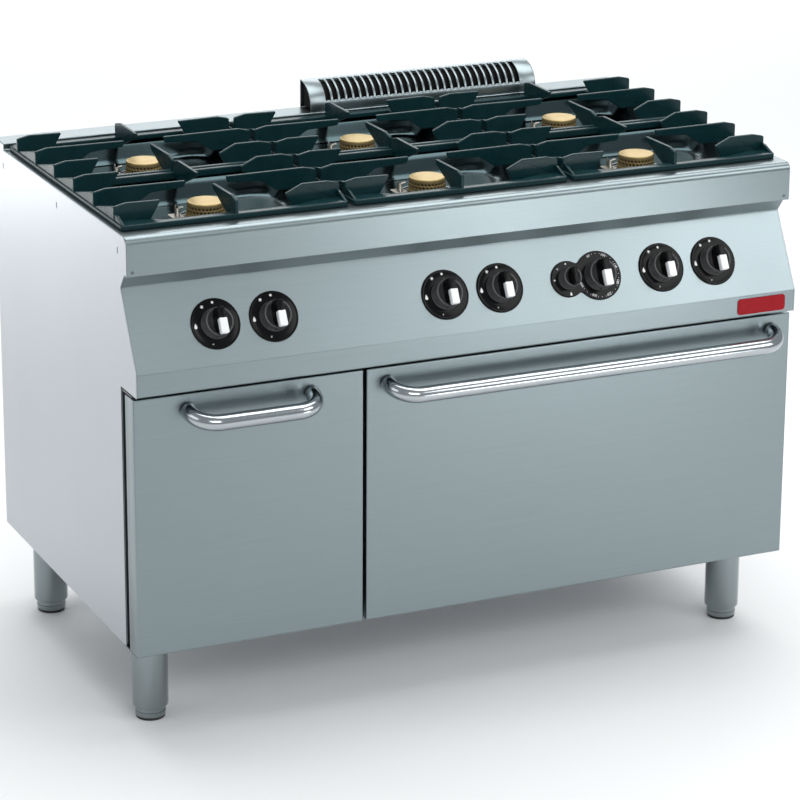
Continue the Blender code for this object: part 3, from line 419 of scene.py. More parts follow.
def inset(outline, distance):
    """A closed counter-clockwise outline moved inwards by a distance, mitred at its corners."""
    path = np.asarray(outline, float)
    ahead = np.roll(path, -1, 0) - path
    ahead /= np.linalg.norm(ahead, axis=1, keepdims=True)
    normal = np.stack([-ahead[:, 1], ahead[:, 0]], 1)
    before = np.roll(normal, 1, 0)
    bisector = normal + before
    bisector /= np.linalg.norm(bisector, axis=1, keepdims=True)
    cosine = np.maximum((bisector * normal).sum(1, keepdims=True), 0.35)
    return path + bisector * distance / cosine


def anticlockwise(outline):
    """The outline, reversed if it runs clockwise."""
    path = np.asarray(outline, float)
    x, y = path[:, 0], path[:, 1]
    area = (x * np.roll(y, -1) - y * np.roll(x, -1)).sum()
    return path if area > 0 else path[::-1]


def lifted(outline, height):
    """A flat outline as a loop at one height."""
    return np.concatenate([outline, np.full((len(outline), 1), height)], 1)


def edge_levels(edge, low, high, steps):
    """(inset, height) pairs up the side of a plate: a quarter round at its foot and another at its top."""
    angles = np.linspace(0, np.pi / 2, steps + 1)
    up = [(edge * (1 - np.sin(a)), low + edge * (1 - np.cos(a))) for a in angles]
    return up + [(edge * (1 - np.sin(a)), high - edge * (1 - np.cos(a))) for a in angles[::-1]]


def slab(outline, low, high, edge, axes="xy", steps=3):
    """A flat plate with rounded edges: its outline inset by edge (1 - sin a) where the height is off a face by
    edge (1 - cos a). axes names the outline's two axes; the plate's thickness is along the third."""
    path = anticlockwise(outline)
    edge = min(edge, (high - low) / 2 * 0.98)
    ends = edge + 0.0004
    order = [(axes + "xyz".translate({ord(c): None for c in axes})).index(c) for c in "xyz"]
    levels = [(ends, low), *edge_levels(edge, low, high, steps), (ends, high)]
    return rings([lifted(inset(path, shrink), level)[:, order] for shrink, level in levels])


def ring_slab(outer, inner, low, high, edge):
    """A flat frame with rounded edges: the slab's edge rule on its outer and its inner outline."""
    outer, inner = anticlockwise(outer), anticlockwise(inner)
    levels = edge_levels(edge, low, high, 3)
    loops = [lifted(inset(outer, shrink), z) for shrink, z in levels]
    loops += [lifted(inset(inner, -shrink), z) for shrink, z in levels[::-1]]
    loops = np.asarray(loops)
    return loops.reshape(-1, 3), grid_faces(len(loops), loops.shape[1], wrap_columns=True, wrap_rows=True)


def rounded_rectangle(centre, half, radius, steps=6):
    """The outline of a rectangle about its centre, with rounded corners."""
    (cx, cy), (hx, hy) = centre, half
    return fillet([(cx + hx, cy + hy), (cx - hx, cy + hy), (cx - hx, cy - hy), (cx + hx, cy - hy)], radius, steps)


def rectangle(left, right, low, high):
    """A rectangle's four corners."""
    return [(left, low), (right, low), (right, high), (left, high)]


def along(path):
    """The unit way of a path at each of its points."""
    ahead = np.gradient(path, axis=0)
    return ahead / np.linalg.norm(ahead, axis=1, keepdims=True)


def sweep(path, radius, sides=24):
    """A round tube along a path: each ring stands square to the path, its frame carried without twist."""
    path = np.asarray(path, float)
    tangent = along(path)
    side = np.cross(tangent[0], [0.0, 0.0, 1.0])
    if np.linalg.norm(side) < 1e-3:
        side = np.cross(tangent[0], [0.0, 1.0, 0.0])
    frames = []
    for t in tangent:
        side = side - t * (side @ t)
        side = side / np.linalg.norm(side)
        frames.append((side, np.cross(t, side)))
    a = around(sides)[:, None]
    radius = np.broadcast_to(np.asarray(radius, float), (len(path),))
    return rings([p + r * (np.cos(a) * u + np.sin(a) * v) for p, r, (u, v) in zip(path, radius, frames)])


def folded_sheet(outline, radii, thickness, x0, x1):
    """A sheet bent along a (y, z) outline and carried along X, its thickness on the left of its way."""
    path = open_fillet(outline, radii)
    ahead = along(path)
    left = np.stack([-ahead[:, 1], ahead[:, 0]], 1)
    section = np.concatenate([path, (path + left * thickness)[::-1]])
    return rings([lifted(section, x)[:, [2, 0, 1]] for x in (x0, x1)])


# ---------------------------------------------------------------- sizes read from the frame

SIDE_LOW, SIDE_HIGH = box_of("side_panel_left")
TOP_LOW, TOP_HIGH = box_of("worktop")
LEFT_X, RIGHT_X = TOP_LOW[0], TOP_HIGH[0]
BACK_Y, BAND_Y, FASCIA_Y = SIDE_HIGH[1], SIDE_LOW[1], TOP_LOW[1]
BODY_BOTTOM_Z, FASCIA_BOTTOM_Z, LEDGE_Z = SIDE_LOW[2], TOP_LOW[2], TOP_HIGH[2]
SHEET = 0.0015
SKIN = 0.0003
LEDGE_HEIGHT = 0.011
LEDGE_DEPTH = 0.051
WORKTOP_Z = LEDGE_Z - LEDGE_HEIGHT
LEDGE_Y = BACK_Y - LEDGE_DEPTH
NOSE_R = 0.012
FASCIA_LIP = 0.010
BAND_BOTTOM_Z = box_of("control_panel")[0][2]
BAND_TOP = np.array([BAND_Y, BAND_BOTTOM_Z + 0.038])
SLOPE_TOP = np.array([BAND_Y + 0.066, WORKTOP_Z - 0.090])
BODY_FRONT_Y = box_of("base_panel")[0][1]
SUPPORTS = {side: box_of(f"pan_support_{side}") for side in ("left", "middle", "right")}
BURNER_NAMES = [f"{column}_{row}" for column in ("left", "middle", "right") for row in ("front", "rear")]
CAP_BOXES = {name: box_of(f"burner_cap_{name}") for name in BURNER_NAMES}
JOINTS = {joint["name"]: joint for joint in frame["joints"]}
WELL_HALF = np.array([0.184, 0.136])
WELL_CORNER_R = 0.065
WELL_WALL = 0.036
WELL_DEPTH = 0.035
FLANGE_WIDE = 0.018
WELD_MARKS_Y = (-0.253, 0.043, 0.327)
WELD_MARK_Z = (0.815, 0.826)
BEZEL_R = 0.042
SKIRT_HIGH = 0.0232
BURNER_KNOB_R, BURNER_KNOB_HIGH = 0.0250, 0.0402
THERMOSTAT_KNOB_R = 0.0260
VALVE_KNOB_R, VALVE_KNOB_HIGH = 0.0180, 0.0362
MARKS_HEIGHT = 0.0029


def burner_centre(name):
    """The middle of a burner cap's box."""
    low, high = CAP_BOXES[name]
    return (low + high) / 2


def stadium_step(t):
    """0 to 1 with a straight middle: speed rises over the first ease of the way and falls over the last."""
    ease = 0.28
    t = np.clip(t, 0, 1)
    top = 1 / (1 - ease)
    rise = top * t**2 / (2 * ease)
    fall = 1 - top * (1 - t) ** 2 / (2 * ease)
    return np.where(t < ease, rise, np.where(t < 1 - ease, top * (t - ease / 2), fall))


def well_press(x, y):
    """How far the wells are pressed below the worktop: the distance s inside each rounded rectangle, eased over
    the wall's run, times the depth; the floor falls a little towards its rim."""
    depth = np.zeros(np.broadcast(x, y).shape)
    for name in BURNER_NAMES:
        cx, cy = burner_centre(name)[:2]
        qx = np.abs(x - cx) - (WELL_HALF[0] - WELL_CORNER_R)
        qy = np.abs(y - cy) - (WELL_HALF[1] - WELL_CORNER_R)
        outside = np.hypot(np.maximum(qx, 0), np.maximum(qy, 0))
        s = WELL_CORNER_R - outside - np.minimum(np.maximum(qx, qy), 0)
        radius = np.hypot(x - cx, y - cy)
        dome = 0.004 * np.exp(-((radius / 0.075) ** 2))
        depth = np.maximum(depth, WELL_DEPTH * stadium_step(s / WELL_WALL) - np.where(s > WELL_WALL, dome, 0))
    return depth


def graded(centres, half, dense):
    """Sample places that are close together over each well's walls and wide apart on its floor."""
    fine, coarse = 0.0032, 0.012
    out = []
    for c in centres:
        edge = np.arange(0, dense, fine)
        out += [c - half + edge, c + half - edge, np.arange(c - half + dense, c + half - dense, coarse)]
    return np.unique(np.round(np.concatenate(out), 5))


def make_worktop():
    """One pressed sheet: a (y, z) profile from the fascia's lip over the nose to the rear ledge, carried along X,
    lowered on its flat stretch by well_press(x, y)."""
    flat_end = (LEDGE_Y - 0.004, WORKTOP_Z)
    lip = [(FASCIA_Y + FASCIA_LIP, FASCIA_BOTTOM_Z), (FASCIA_Y, FASCIA_BOTTOM_Z)]
    lip += [(FASCIA_Y, WORKTOP_Z), flat_end]
    ledge = [flat_end, (LEDGE_Y, WORKTOP_Z), (LEDGE_Y, LEDGE_Z), (BACK_Y, LEDGE_Z), (BACK_Y, LEDGE_Z - 0.008)]
    centres = np.array([burner_centre(name)[:2] for name in BURNER_NAMES])
    centres_x, centres_y = (sorted({round(float(c), 5) for c in column}) for column in centres.T)
    flat_y = graded(centres_y, WELL_HALF[1] + 0.001, 0.070)
    flat = np.stack([flat_y, np.full(len(flat_y), WORKTOP_Z)], 1)
    lip = open_fillet(lip, [0, 0.002, NOSE_R, 0], 7)
    ledge = open_fillet(ledge, [0, 0.002, 0.002, 0.0015, 0], 3)
    path = np.concatenate([lip[:-1], flat, ledge])
    rims = [LEFT_X, LEFT_X + 0.001, RIGHT_X - 0.001, RIGHT_X]
    xs = np.unique(np.concatenate([rims, graded(centres_x, WELL_HALF[0] + 0.001, 0.072)]))
    x = np.broadcast_to(xs, (len(path), len(xs)))
    y = np.broadcast_to(path[:, :1], x.shape)
    level = np.abs(path[:, 1:] - WORKTOP_Z) < 1e-6
    z = path[:, 1:] - np.where(level, well_press(x, y), 0)
    points = np.stack([x, y, z], -1).reshape(-1, 3)
    faces = grid_faces(len(path), len(xs))
    mesh = mesh_of("worktop_pressing", points, faces)
    mesh.materials.append(STEEL)
    mesh.materials.append(WELL_SHADE_STEEL)
    # The wells' faces take the darker well steel: painted shade and reflection.
    centre = points[faces].mean(1)
    pressed = well_press(centre[:, 0], centre[:, 1]) > 0.0005
    inside = pressed & (centre[:, 2] < WORKTOP_Z) & (centre[:, 1] > FASCIA_Y + NOSE_R)
    mesh.polygons.foreach_set("material_index", inside.astype(np.int32))
    mesh.shade_smooth()
    on_body(thickened("worktop_pressing", mesh, SHEET), "cabinet", ["worktop"])


def make_side_panels():
    """Flat side sheets whose outline steps round the doors, the sloping panel and the fascia."""
    inside = SHEET + SKIN
    outline = [
        (BODY_FRONT_Y, BODY_BOTTOM_Z),
        (BODY_FRONT_Y, BAND_BOTTOM_Z),
        (BAND_Y, BAND_BOTTOM_Z),
        tuple(BAND_TOP),
        tuple(SLOPE_TOP),
        (FASCIA_Y + FASCIA_LIP + inside, FASCIA_BOTTOM_Z + inside),
        (FASCIA_Y + inside, FASCIA_BOTTOM_Z + inside),
        (FASCIA_Y + inside, WORKTOP_Z - NOSE_R),
        (FASCIA_Y + NOSE_R, WORKTOP_Z - inside),
        (LEDGE_Y + inside, WORKTOP_Z - inside),
        (LEDGE_Y + inside, LEDGE_Z - inside),
        (BACK_Y, LEDGE_Z - inside),
        (BACK_Y, BODY_BOTTOM_Z),
    ]
    radii = [0.002, 0, 0.001, 0.003, 0.003, 0, 0, 0.004, 0.004, 0, 0, 0.001, 0.002]
    rounded = fillet(outline, radii)
    for side, sign, edge in (("left", -1, LEFT_X), ("right", 1, RIGHT_X)):
        outer = edge - sign * SKIN
        inner = outer - sign * SHEET
        part = slab(rounded, *sorted((outer, inner)), 0.0006, "yz")
        piece(f"side_sheet_{side}", *part, SIDE_STEEL, "cabinet", "brushed_steel", [f"side_panel_{side}"])
        if side == "left":
            flange = rectangle(inner, inner + FLANGE_WIDE, BODY_BOTTOM_Z + 0.004, BAND_BOTTOM_Z - 0.002)
            part = slab(fillet(flange, 0.002), BODY_FRONT_Y - SHEET, BODY_FRONT_Y - SKIN, 0.0004, "xz")
            piece(f"front_return_{side}", *part, STEEL_UPRIGHT, "cabinet", "brushed_steel")
        for i, y in enumerate(WELD_MARKS_Y):
            mark = fillet(rectangle(y - 0.0016, y + 0.0016, *WELD_MARK_Z), 0.0015)
            part = slab(mark, *sorted((outer, outer + sign * SKIN)), 0.0002, "yz", 1)
            piece(f"weld_mark_{side}_{i}", *part, DARK_STEEL, "cabinet", "brushed_steel")


def make_control_panel():
    """The folded front: undercut, slope, band and bottom return, bent with small radii."""
    outline = [
        (FASCIA_Y + FASCIA_LIP + 2 * SHEET, FASCIA_BOTTOM_Z - SKIN),
        tuple(SLOPE_TOP),
        tuple(BAND_TOP),
        (BAND_Y, BAND_BOTTOM_Z),
        (BODY_FRONT_Y - 0.001, BAND_BOTTOM_Z),
    ]
    inside = SHEET + 2 * SKIN
    part = folded_sheet(outline, [0, 0.003, 0.003, 0.0025, 0], SHEET, LEFT_X + inside, RIGHT_X - inside)
    looks = [STEEL, SHADED_STEEL]
    made = piece("control_fascia", *part, looks, "cabinet", "brushed_steel", ["control_panel"], angle=50)
    # The undercut's downward faces get the separate copy with its painted light.
    for polygon in made.data.polygons:
        polygon.material_index = int(polygon.normal.z < -0.5 and polygon.center.z > SLOPE_TOP[1])
    head = lathe([(0.0001, 0.0012), (0.0016, 0.0012), (0.0026, 0.0006), (0.0028, 0.0)], 20)
    turn = Matrix.Rotation(math.pi / 2, 3, "X")
    for side, x in (("left", LEFT_X + 0.010), ("right", RIGHT_X - 0.010)):
        spot = (x, FASCIA_Y + 0.0001, FASCIA_BOTTOM_Z + 0.008)
        piece(f"fascia_screw_{side}", *placed(head, spot, turn), DARK_STEEL, "cabinet", "brushed_steel")


PANEL_JOINT = JOINTS["burner_knob_left_front_turn"]
PANEL_NORMAL = np.array(PANEL_JOINT["axis"])
UP_SLOPE = np.array([0, PANEL_NORMAL[2], -PANEL_NORMAL[1]])
PANEL_TURN = np.stack([[1, 0, 0], UP_SLOPE, PANEL_NORMAL], 1)
KNOB_PIVOT_HEIGHT = 0.015


def panel_spot(joint_name):
    """The point on the panel's face under a knob."""
    return np.array(JOINTS[joint_name]["pos_m"]) - PANEL_NORMAL * KNOB_PIVOT_HEIGHT


def disc_mark(x, y, radius, points=0, pull=0.45):
    """A printed spot: round, or a star whose radius swings between 1 and pull."""
    t = around(24)
    r = radius * (1 if not points else (1 + pull) / 2 + (1 - pull) / 2 * np.cos(points * t))
    return np.stack([x + r * np.cos(t), y + r * np.sin(t)], 1)


def flame_mark(x, y, size):
    """A flame: round below, drawn to a point above."""
    t = around(24)
    wide = size * np.sin(t) * (0.55 - 0.35 * np.cos(t))
    return np.stack([x + wide, y + size * np.cos(t) * 1.1], 1)


def clock(hour, radius):
    """The point at an hour of a clock face."""
    angle = math.pi / 2 - hour * math.pi / 6
    return radius * math.cos(angle), radius * math.sin(angle)


def print_on(name, outlines, spot, height):
    """Thin printed shapes lying on a bezel."""
    parts = [slab(outline, height, height + 0.00015, 0.00005, "xy", 1) for outline in outlines]
    part = placed(merge(parts), spot, PANEL_TURN)
    piece(name, *part, MARK_WHITE, "cabinet", "black_plastic")


def bezel_profile(radius):
    """The section of the low ring under a knob: a flat face, a shallow groove and a rounded rim."""
    top = 0.003
    return [
        *((0.0072, 0.0004), (0.0072, top - 0.0008), (0.0085, top - 0.0002), (radius - 0.0045, top - 0.0001)),
        *((radius - 0.0034, top - 0.0004), (radius - 0.0024, top), (radius - 0.0010, top - 0.0003)),
        *((radius - 0.0002, top - 0.0012), (radius, 0.0004)),
    ]


def ribbed_skirt(radius, low, high):
    """A knob's skirt: the outer wall's radius swings by a rib's height, r + h cos(n t); the top is a narrow land
    round a scooped well."""
    out = np.array([0.0006, 0.0008, 0.0002, 0, -0.0012, -0.0018, -0.0026, -0.0044, -0.0054, -0.0086, -0.0145])
    wall = [low, low + 0.0010, low + 0.0018, low + 0.0026, high - 0.0020, high - 0.0006, high]
    well = [high - 0.0002, high - 0.0016, high - 0.0072, high - 0.0096]
    r = np.array([0.0005, *(radius + out), 0.0005])[:, None]
    z = np.array([low, *wall, *well, high - 0.0102])[:, None]
    ribs, rib_high = 44, 0.00045
    t = around(6 * ribs)
    ribbed = (z > low + 0.002) & (z < high - 0.001) & (r > radius - 0.0015)
    return rings(spun(r + np.where(ribbed, rib_high * np.cos(ribs * t) - rib_high, 0), z, t))


def grip_bar(half_length, half_width, low, high):
    """The bar across a knob: a rounded outline that narrows and shortens as it rises."""
    edge = 0.0028
    levels = [(0.0, low, 1.0), (0.0, (low + high) / 2, 0.90), (0.0, high - edge, 0.82)]
    for a in np.linspace(0, np.pi / 2, 6)[1:]:
        levels.append((edge * (1 - math.cos(a)), high - edge + edge * math.sin(a), 0.82))
    loops = []
    for shrink, z, taper in levels:
        half = (half_width * taper, half_length * (0.3 + 0.7 * taper))
        loops.append(lifted(inset(rounded_rectangle((0, 0), half, 0.0032, 5), shrink), z))
    return rings(loops)


def grip_highlight_patch(half_length, half_width, high):
    """A pale patch that wraps the lower end of the bar: painted highlight where the grip's lower bevel catches
    the light, built as an insert.
    """
    half = (half_width * 0.90, half_length * 0.54)
    outline = rounded_rectangle((0, -half_length * 0.43), half, 0.0022, 5)
    return slab(outline, high - 0.0105, high + 0.0003, 0.0016, "xy", 4)


def make_knob(name, node, radius, high, with_highlight=True):
    """A knob's ribbed skirt, its grip and, on most, the pale patch of painted highlight at the grip's lower end,
    all riding on the knob's body.
    """
    spot = panel_spot(f"{node}_turn")
    reach, wide = radius - 0.0012, radius * 0.30
    skirt = placed(ribbed_skirt(radius, 0.0035, SKIRT_HIGH), spot, PANEL_TURN)
    piece(f"{name}_skirt", *skirt, KNOB_GREY, node, "black_plastic", [node], angle=55)
    parts = [("grip", grip_bar(reach, wide, 0.0095, high), BLACK)]
    if with_highlight:
        parts.append(("pointer", grip_highlight_patch(reach, wide, high), GRIP_HIGHLIGHT))
    for kind, part, look in parts:
        piece(f"{name}_{kind}", *placed(part, spot, PANEL_TURN), look, node, "black_plastic", angle=50)


def make_knobs():
    """Six burner knobs on their marked bezels, the oven's dial plate and its two knobs."""
    for name in BURNER_NAMES:
        spot = panel_spot(f"burner_knob_{name}_turn")
        bezel = placed(tube_lathe(bezel_profile(BEZEL_R)), spot, PANEL_TURN)
        piece(f"bezel_{name}", *bezel, BLACK, "cabinet", "black_plastic", [f"knob_bezel_{name}"], angle=50)
        marks = [
            disc_mark(*clock(0, 0.0345), 0.0021),
            disc_mark(*clock(10.9, 0.0345), 0.0033, 6, 0.35),
            flame_mark(*clock(8.95, 0.0345), 0.0040),
            disc_mark(*clock(6.6, 0.0345), 0.0019, 6, 0.2),
        ]
        print_on(f"bezel_marks_{name}", marks, spot, MARKS_HEIGHT)
        make_knob(f"knob_{name}", f"burner_knob_{name}", BURNER_KNOB_R, BURNER_KNOB_HIGH)
    make_dial_plate()
    make_knob("valve_knob", "oven_valve_knob", VALVE_KNOB_R, VALVE_KNOB_HIGH, with_highlight=False)
    make_knob("thermostat_knob", "oven_thermostat_knob", THERMOSTAT_KNOB_R, BURNER_KNOB_HIGH)


def lobed_outline(x_small, r_small, x_large, r_large):
    """The outline of two overlapping discs whose waist is rounded: for each angle round the large disc, then the
    small one, the arcs outside the other disc, joined by concave fillets."""
    blend = 0.007
    gap = x_large - x_small
    aside = (gap**2 + (r_small + blend) ** 2 - (r_large + blend) ** 2) / (2 * gap)
    up = math.sqrt((r_small + blend) ** 2 - aside**2)
    centre = np.array([x_small + aside, up])
    to_small, to_large = np.array([x_small, 0]) - centre, np.array([x_large, 0]) - centre
    a_small = math.atan2(-to_small[1], -to_small[0])
    a_large = math.atan2(-to_large[1], -to_large[0])
    first, last = (math.atan2(way[1], way[0]) for way in (to_large, to_small))

    def arc(middle, r, angles):
        return middle + r * np.stack([np.cos(angles), np.sin(angles)], 1)

    upper = arc(centre, blend, np.linspace(first, last, 8)[1:-1])
    lower = (upper * [1, -1])[::-1]
    disc_small = arc([x_small, 0], r_small, np.linspace(a_small, 2 * np.pi - a_small, 40))
    disc_large = arc([x_large, 0], r_large, np.linspace(-a_large, a_large, 56))
    return np.concatenate([disc_large, upper, disc_small, lower])


def make_dial_plate():
    """The plate behind the oven's two knobs, its printed marks and its generic scale of 60 to 300."""
    spot = panel_spot("oven_thermostat_knob_turn")
    valve_x = panel_spot("oven_valve_knob_turn")[0] - spot[0]
    outline = lobed_outline(valve_x, 0.031, 0.0, BEZEL_R)
    plate = placed(slab(outline, 0.0004, 0.003, 0.0012, "xy", 4), spot, PANEL_TURN)
    piece("oven_dial", *plate, BLACK, "cabinet", "black_plastic", ["oven_dial_plate"], angle=50)
    small = [
        disc_mark(valve_x, 0.0255, 0.0016),
        disc_mark(valve_x - 0.0255, 0, 0.0019, 4, 0.4),
        disc_mark(valve_x - 0.0165, 0.0185, 0.0020, 6, 0.4),
        flame_mark(valve_x, -0.0255, 0.0029),
    ]
    first, step, between = 110, 11.2, 4
    angles = [math.radians(first - i * step) for i in range(27)]
    ticks = [
        disc_mark(0.0372 * math.cos(angle), 0.0372 * math.sin(angle), 0.00055)
        for i, angle in enumerate(angles)
        if i % between
    ]
    print_on("oven_dial_marks", small + ticks, spot, MARKS_HEIGHT)
    for i, angle in enumerate(angles[::between]):
        dial_number(f"dial_number_{i}", str(60 + 40 * i), angle, 0.0362, spot)


def dial_number(name, text, angle, radius, spot):
    """Small figures of the built-in typeface, laid round the dial with their feet towards its middle."""
    curve = bpy.data.curves.new(name, "FONT")
    curve.body = text
    curve.size = 0.0062
    curve.align_x = "CENTER"
    curve.align_y = "CENTER"
    curve.extrude = 0.00006
    curve.resolution_u = 2
    helper = linked(name + "_text", curve)
    mesh = evaluated(helper)
    bpy.data.objects.remove(helper, do_unlink=True)
    turn = Matrix.Rotation(angle - math.pi / 2, 4, "Z")
    shift = Matrix.Translation((radius * math.cos(angle), radius * math.sin(angle), 0.00302))
    onto = Matrix(PANEL_TURN.tolist()).to_4x4()
    mesh.transform(Matrix.Translation(spot) @ onto @ shift @ turn)
    finish_piece(name, mesh, MARK_WHITE, "cabinet")


# ---------------------------------------------------------------- burners


def make_burner(name):
    """A drilled brass cap over its casting: the cap's wall is pressed in by d = depth (1 - (q / r)^2) within r of
    each hole's centre, two rows of holes half a pitch apart."""
    x, y = burner_centre(name)[:2]
    seat = CAP_BOXES[name][0][2] + 0.004
    profile = np.array(
        [(0.0005, 0), (0.0330, 0), (0.0334, 0.0006), (0.0332, 0.0034), (0.0322, 0.0042), (0.0318, 0.0050)]
        + [(0.0318 - 0.0011 * i / 16, 0.0058 + 0.0142 * i / 16) for i in range(17)]
        + [(0.0306, 0.0222), (0.0305, 0.0236), (0.0301, 0.0243), (0.0292, 0.0247), (0.0270, 0.0248)]
        + [(0.0160, 0.0249), (0.0005, 0.0250)]
    )
    holes, wall_r, hole_r, hole_depth = 30, 0.031, 0.0020, 0.0022
    t = around(8 * holes)
    r, z = profile[:, :1], profile[:, 1:]
    hole_and_shade = np.zeros((len(profile), len(t)))
    for row, level in enumerate((0.0096, 0.0156)):
        phase = (t * holes / (2 * np.pi) + 0.5 * row) % 1 - 0.5
        across = phase * 2 * np.pi * wall_r / holes
        q = np.hypot(across[None, :], z - level)
        hole_and_shade = np.maximum(hole_and_shade, np.clip(1 - (q / hole_r) ** 2, 0, 1) * (r > 0.030))
    r = r - hole_depth * np.sqrt(hole_and_shade)
    flat, faces = rings(spun(r, z, t) + [x, y, seat])
    # Painted shade: the shallow dimples are coloured dark as if they opened into the burner; the side wall below
    # the top rim is made darker too.
    wall = np.clip((0.0225 - z) / 0.002, 0, 1) * 0.45 * (r > 0.0255)
    mask = np.clip(np.maximum(hole_and_shade * 2.2, wall), 0, 1).reshape(-1)
    body = f"burner_cap_{name}"
    piece(f"brass_cap_{name}", flat, faces, BRASS, body, "brass_fittings", [body], 60, {"hole_and_shade": mask})
    floor = WORKTOP_Z - WELL_DEPTH
    casting = [
        *((0.0005, floor - 0.040), (0.0180, floor - 0.040), (0.0200, floor - 0.010), (0.0215, floor + 0.001)),
        *((0.0440, floor + 0.0005), (0.0455, floor + 0.0018), (0.0440, floor + 0.0032), (0.0372, floor + 0.0042)),
        *((0.0352, seat - 0.0018), (0.0346, seat - 0.0006), (0.0335, seat - 0.0004), (0.0210, seat - 0.0004)),
        *((0.0205, seat - 0.0046), (0.0005, seat - 0.0046)),
    ]
    part = placed(lathe(casting), (x, y, 0))
    piece(f"burner_casting_{name}", *part, CAST_IRON, "cabinet", "burner_iron", [f"burner_body_{name}"])
    dish = [
        *((0.0458, floor + 0.0045), (0.0480, floor + 0.0052), (0.0540, floor + 0.0040), (0.0600, floor + 0.0012)),
        *((0.0602, floor + 0.0006), (0.0540, floor + 0.0026), (0.0470, floor + 0.0036)),
    ]
    part = placed(tube_lathe(dish, 72), (x, y, 0))
    # The drip ring takes the wells' darker steel with its painted shade.
    piece(f"drip_ring_{name}", *part, WELL_SHADE_STEEL, "cabinet", "burner_iron", angle=60)
    make_pilot(name, x, y, floor)


def make_pilot(name, x, y, floor):
    """The pilot burner and the thermocouple that stand beside a burner, on one bracket."""
    stem = [(0.0002, 0.0), (0.0042, 0.0), (0.0042, 0.009), (0.0034, 0.010), (0.0034, 0.017)]
    stem += [(0.0018, 0.0195), (0.0002, 0.0195)]
    probe = [(-0.046, 0.018, 0.001), (-0.046, 0.018, 0.024)]
    hood = np.array([(-0.048, 0.004, 0.0195), (-0.044, 0.003, 0.0225), (-0.039, 0.002, 0.0235)])
    parts = [
        slab(rounded_rectangle((-0.048, 0.010), (0.011, 0.013), 0.004, 4), 0.0075, 0.0090, 0.0005),
        placed(lathe(stem, 20), (-0.048, 0.004, 0.002)),
        sweep(np.linspace(*probe, 5), [0.0022, 0.0022, 0.0022, 0.0020, 0.0010], 14),
        sweep(hood, 0.0020, 12),
    ]
    part = placed(merge(parts), (x, y, floor))
    piece(f"pilot_{name}", *part, PILOT_METAL, "cabinet", "brass_fittings", angle=50)


# ---------------------------------------------------------------- pan supports

FIN_THICK = 0.006
FIN_PITCH = 0.097
FIN_EDGE = 0.0014


def fin_outline(kind, length):
    """A fin's side view as (distance from the bar, height): a chamfered root, a level top and its own tip."""
    low, outer, inner = 0.0006, 0.0300, 0.0348
    root = [(0.0, low), (0.0, outer), (0.021, inner)]
    top = (length, inner - 0.001)
    tips, radii = {
        "plain": ([top, (length - 0.019, low)], [0.002, 0.001]),
        "nose": (
            [(length - 0.031, inner), (length - 0.001, inner - 0.014), (length - 0.012, low)],
            [0.003, 0.002, 0.002],
        ),
        "long": (
            [top, (length - 0.003, inner - 0.012), (0.098, inner - 0.015), (0.078, low + 0.006), (0.070, low)],
            [0.002, 0.003, 0.012, 0.014, 0.004],
        ),
        "centre": (
            [(length, inner - 0.0005), (length - 0.006, inner - 0.010), (0.040, low)],
            [0.0015, 0.003, 0.004],
        ),
    }[kind]
    return fillet(root + tips, [0.001, 0.0035, 0.006] + radii)


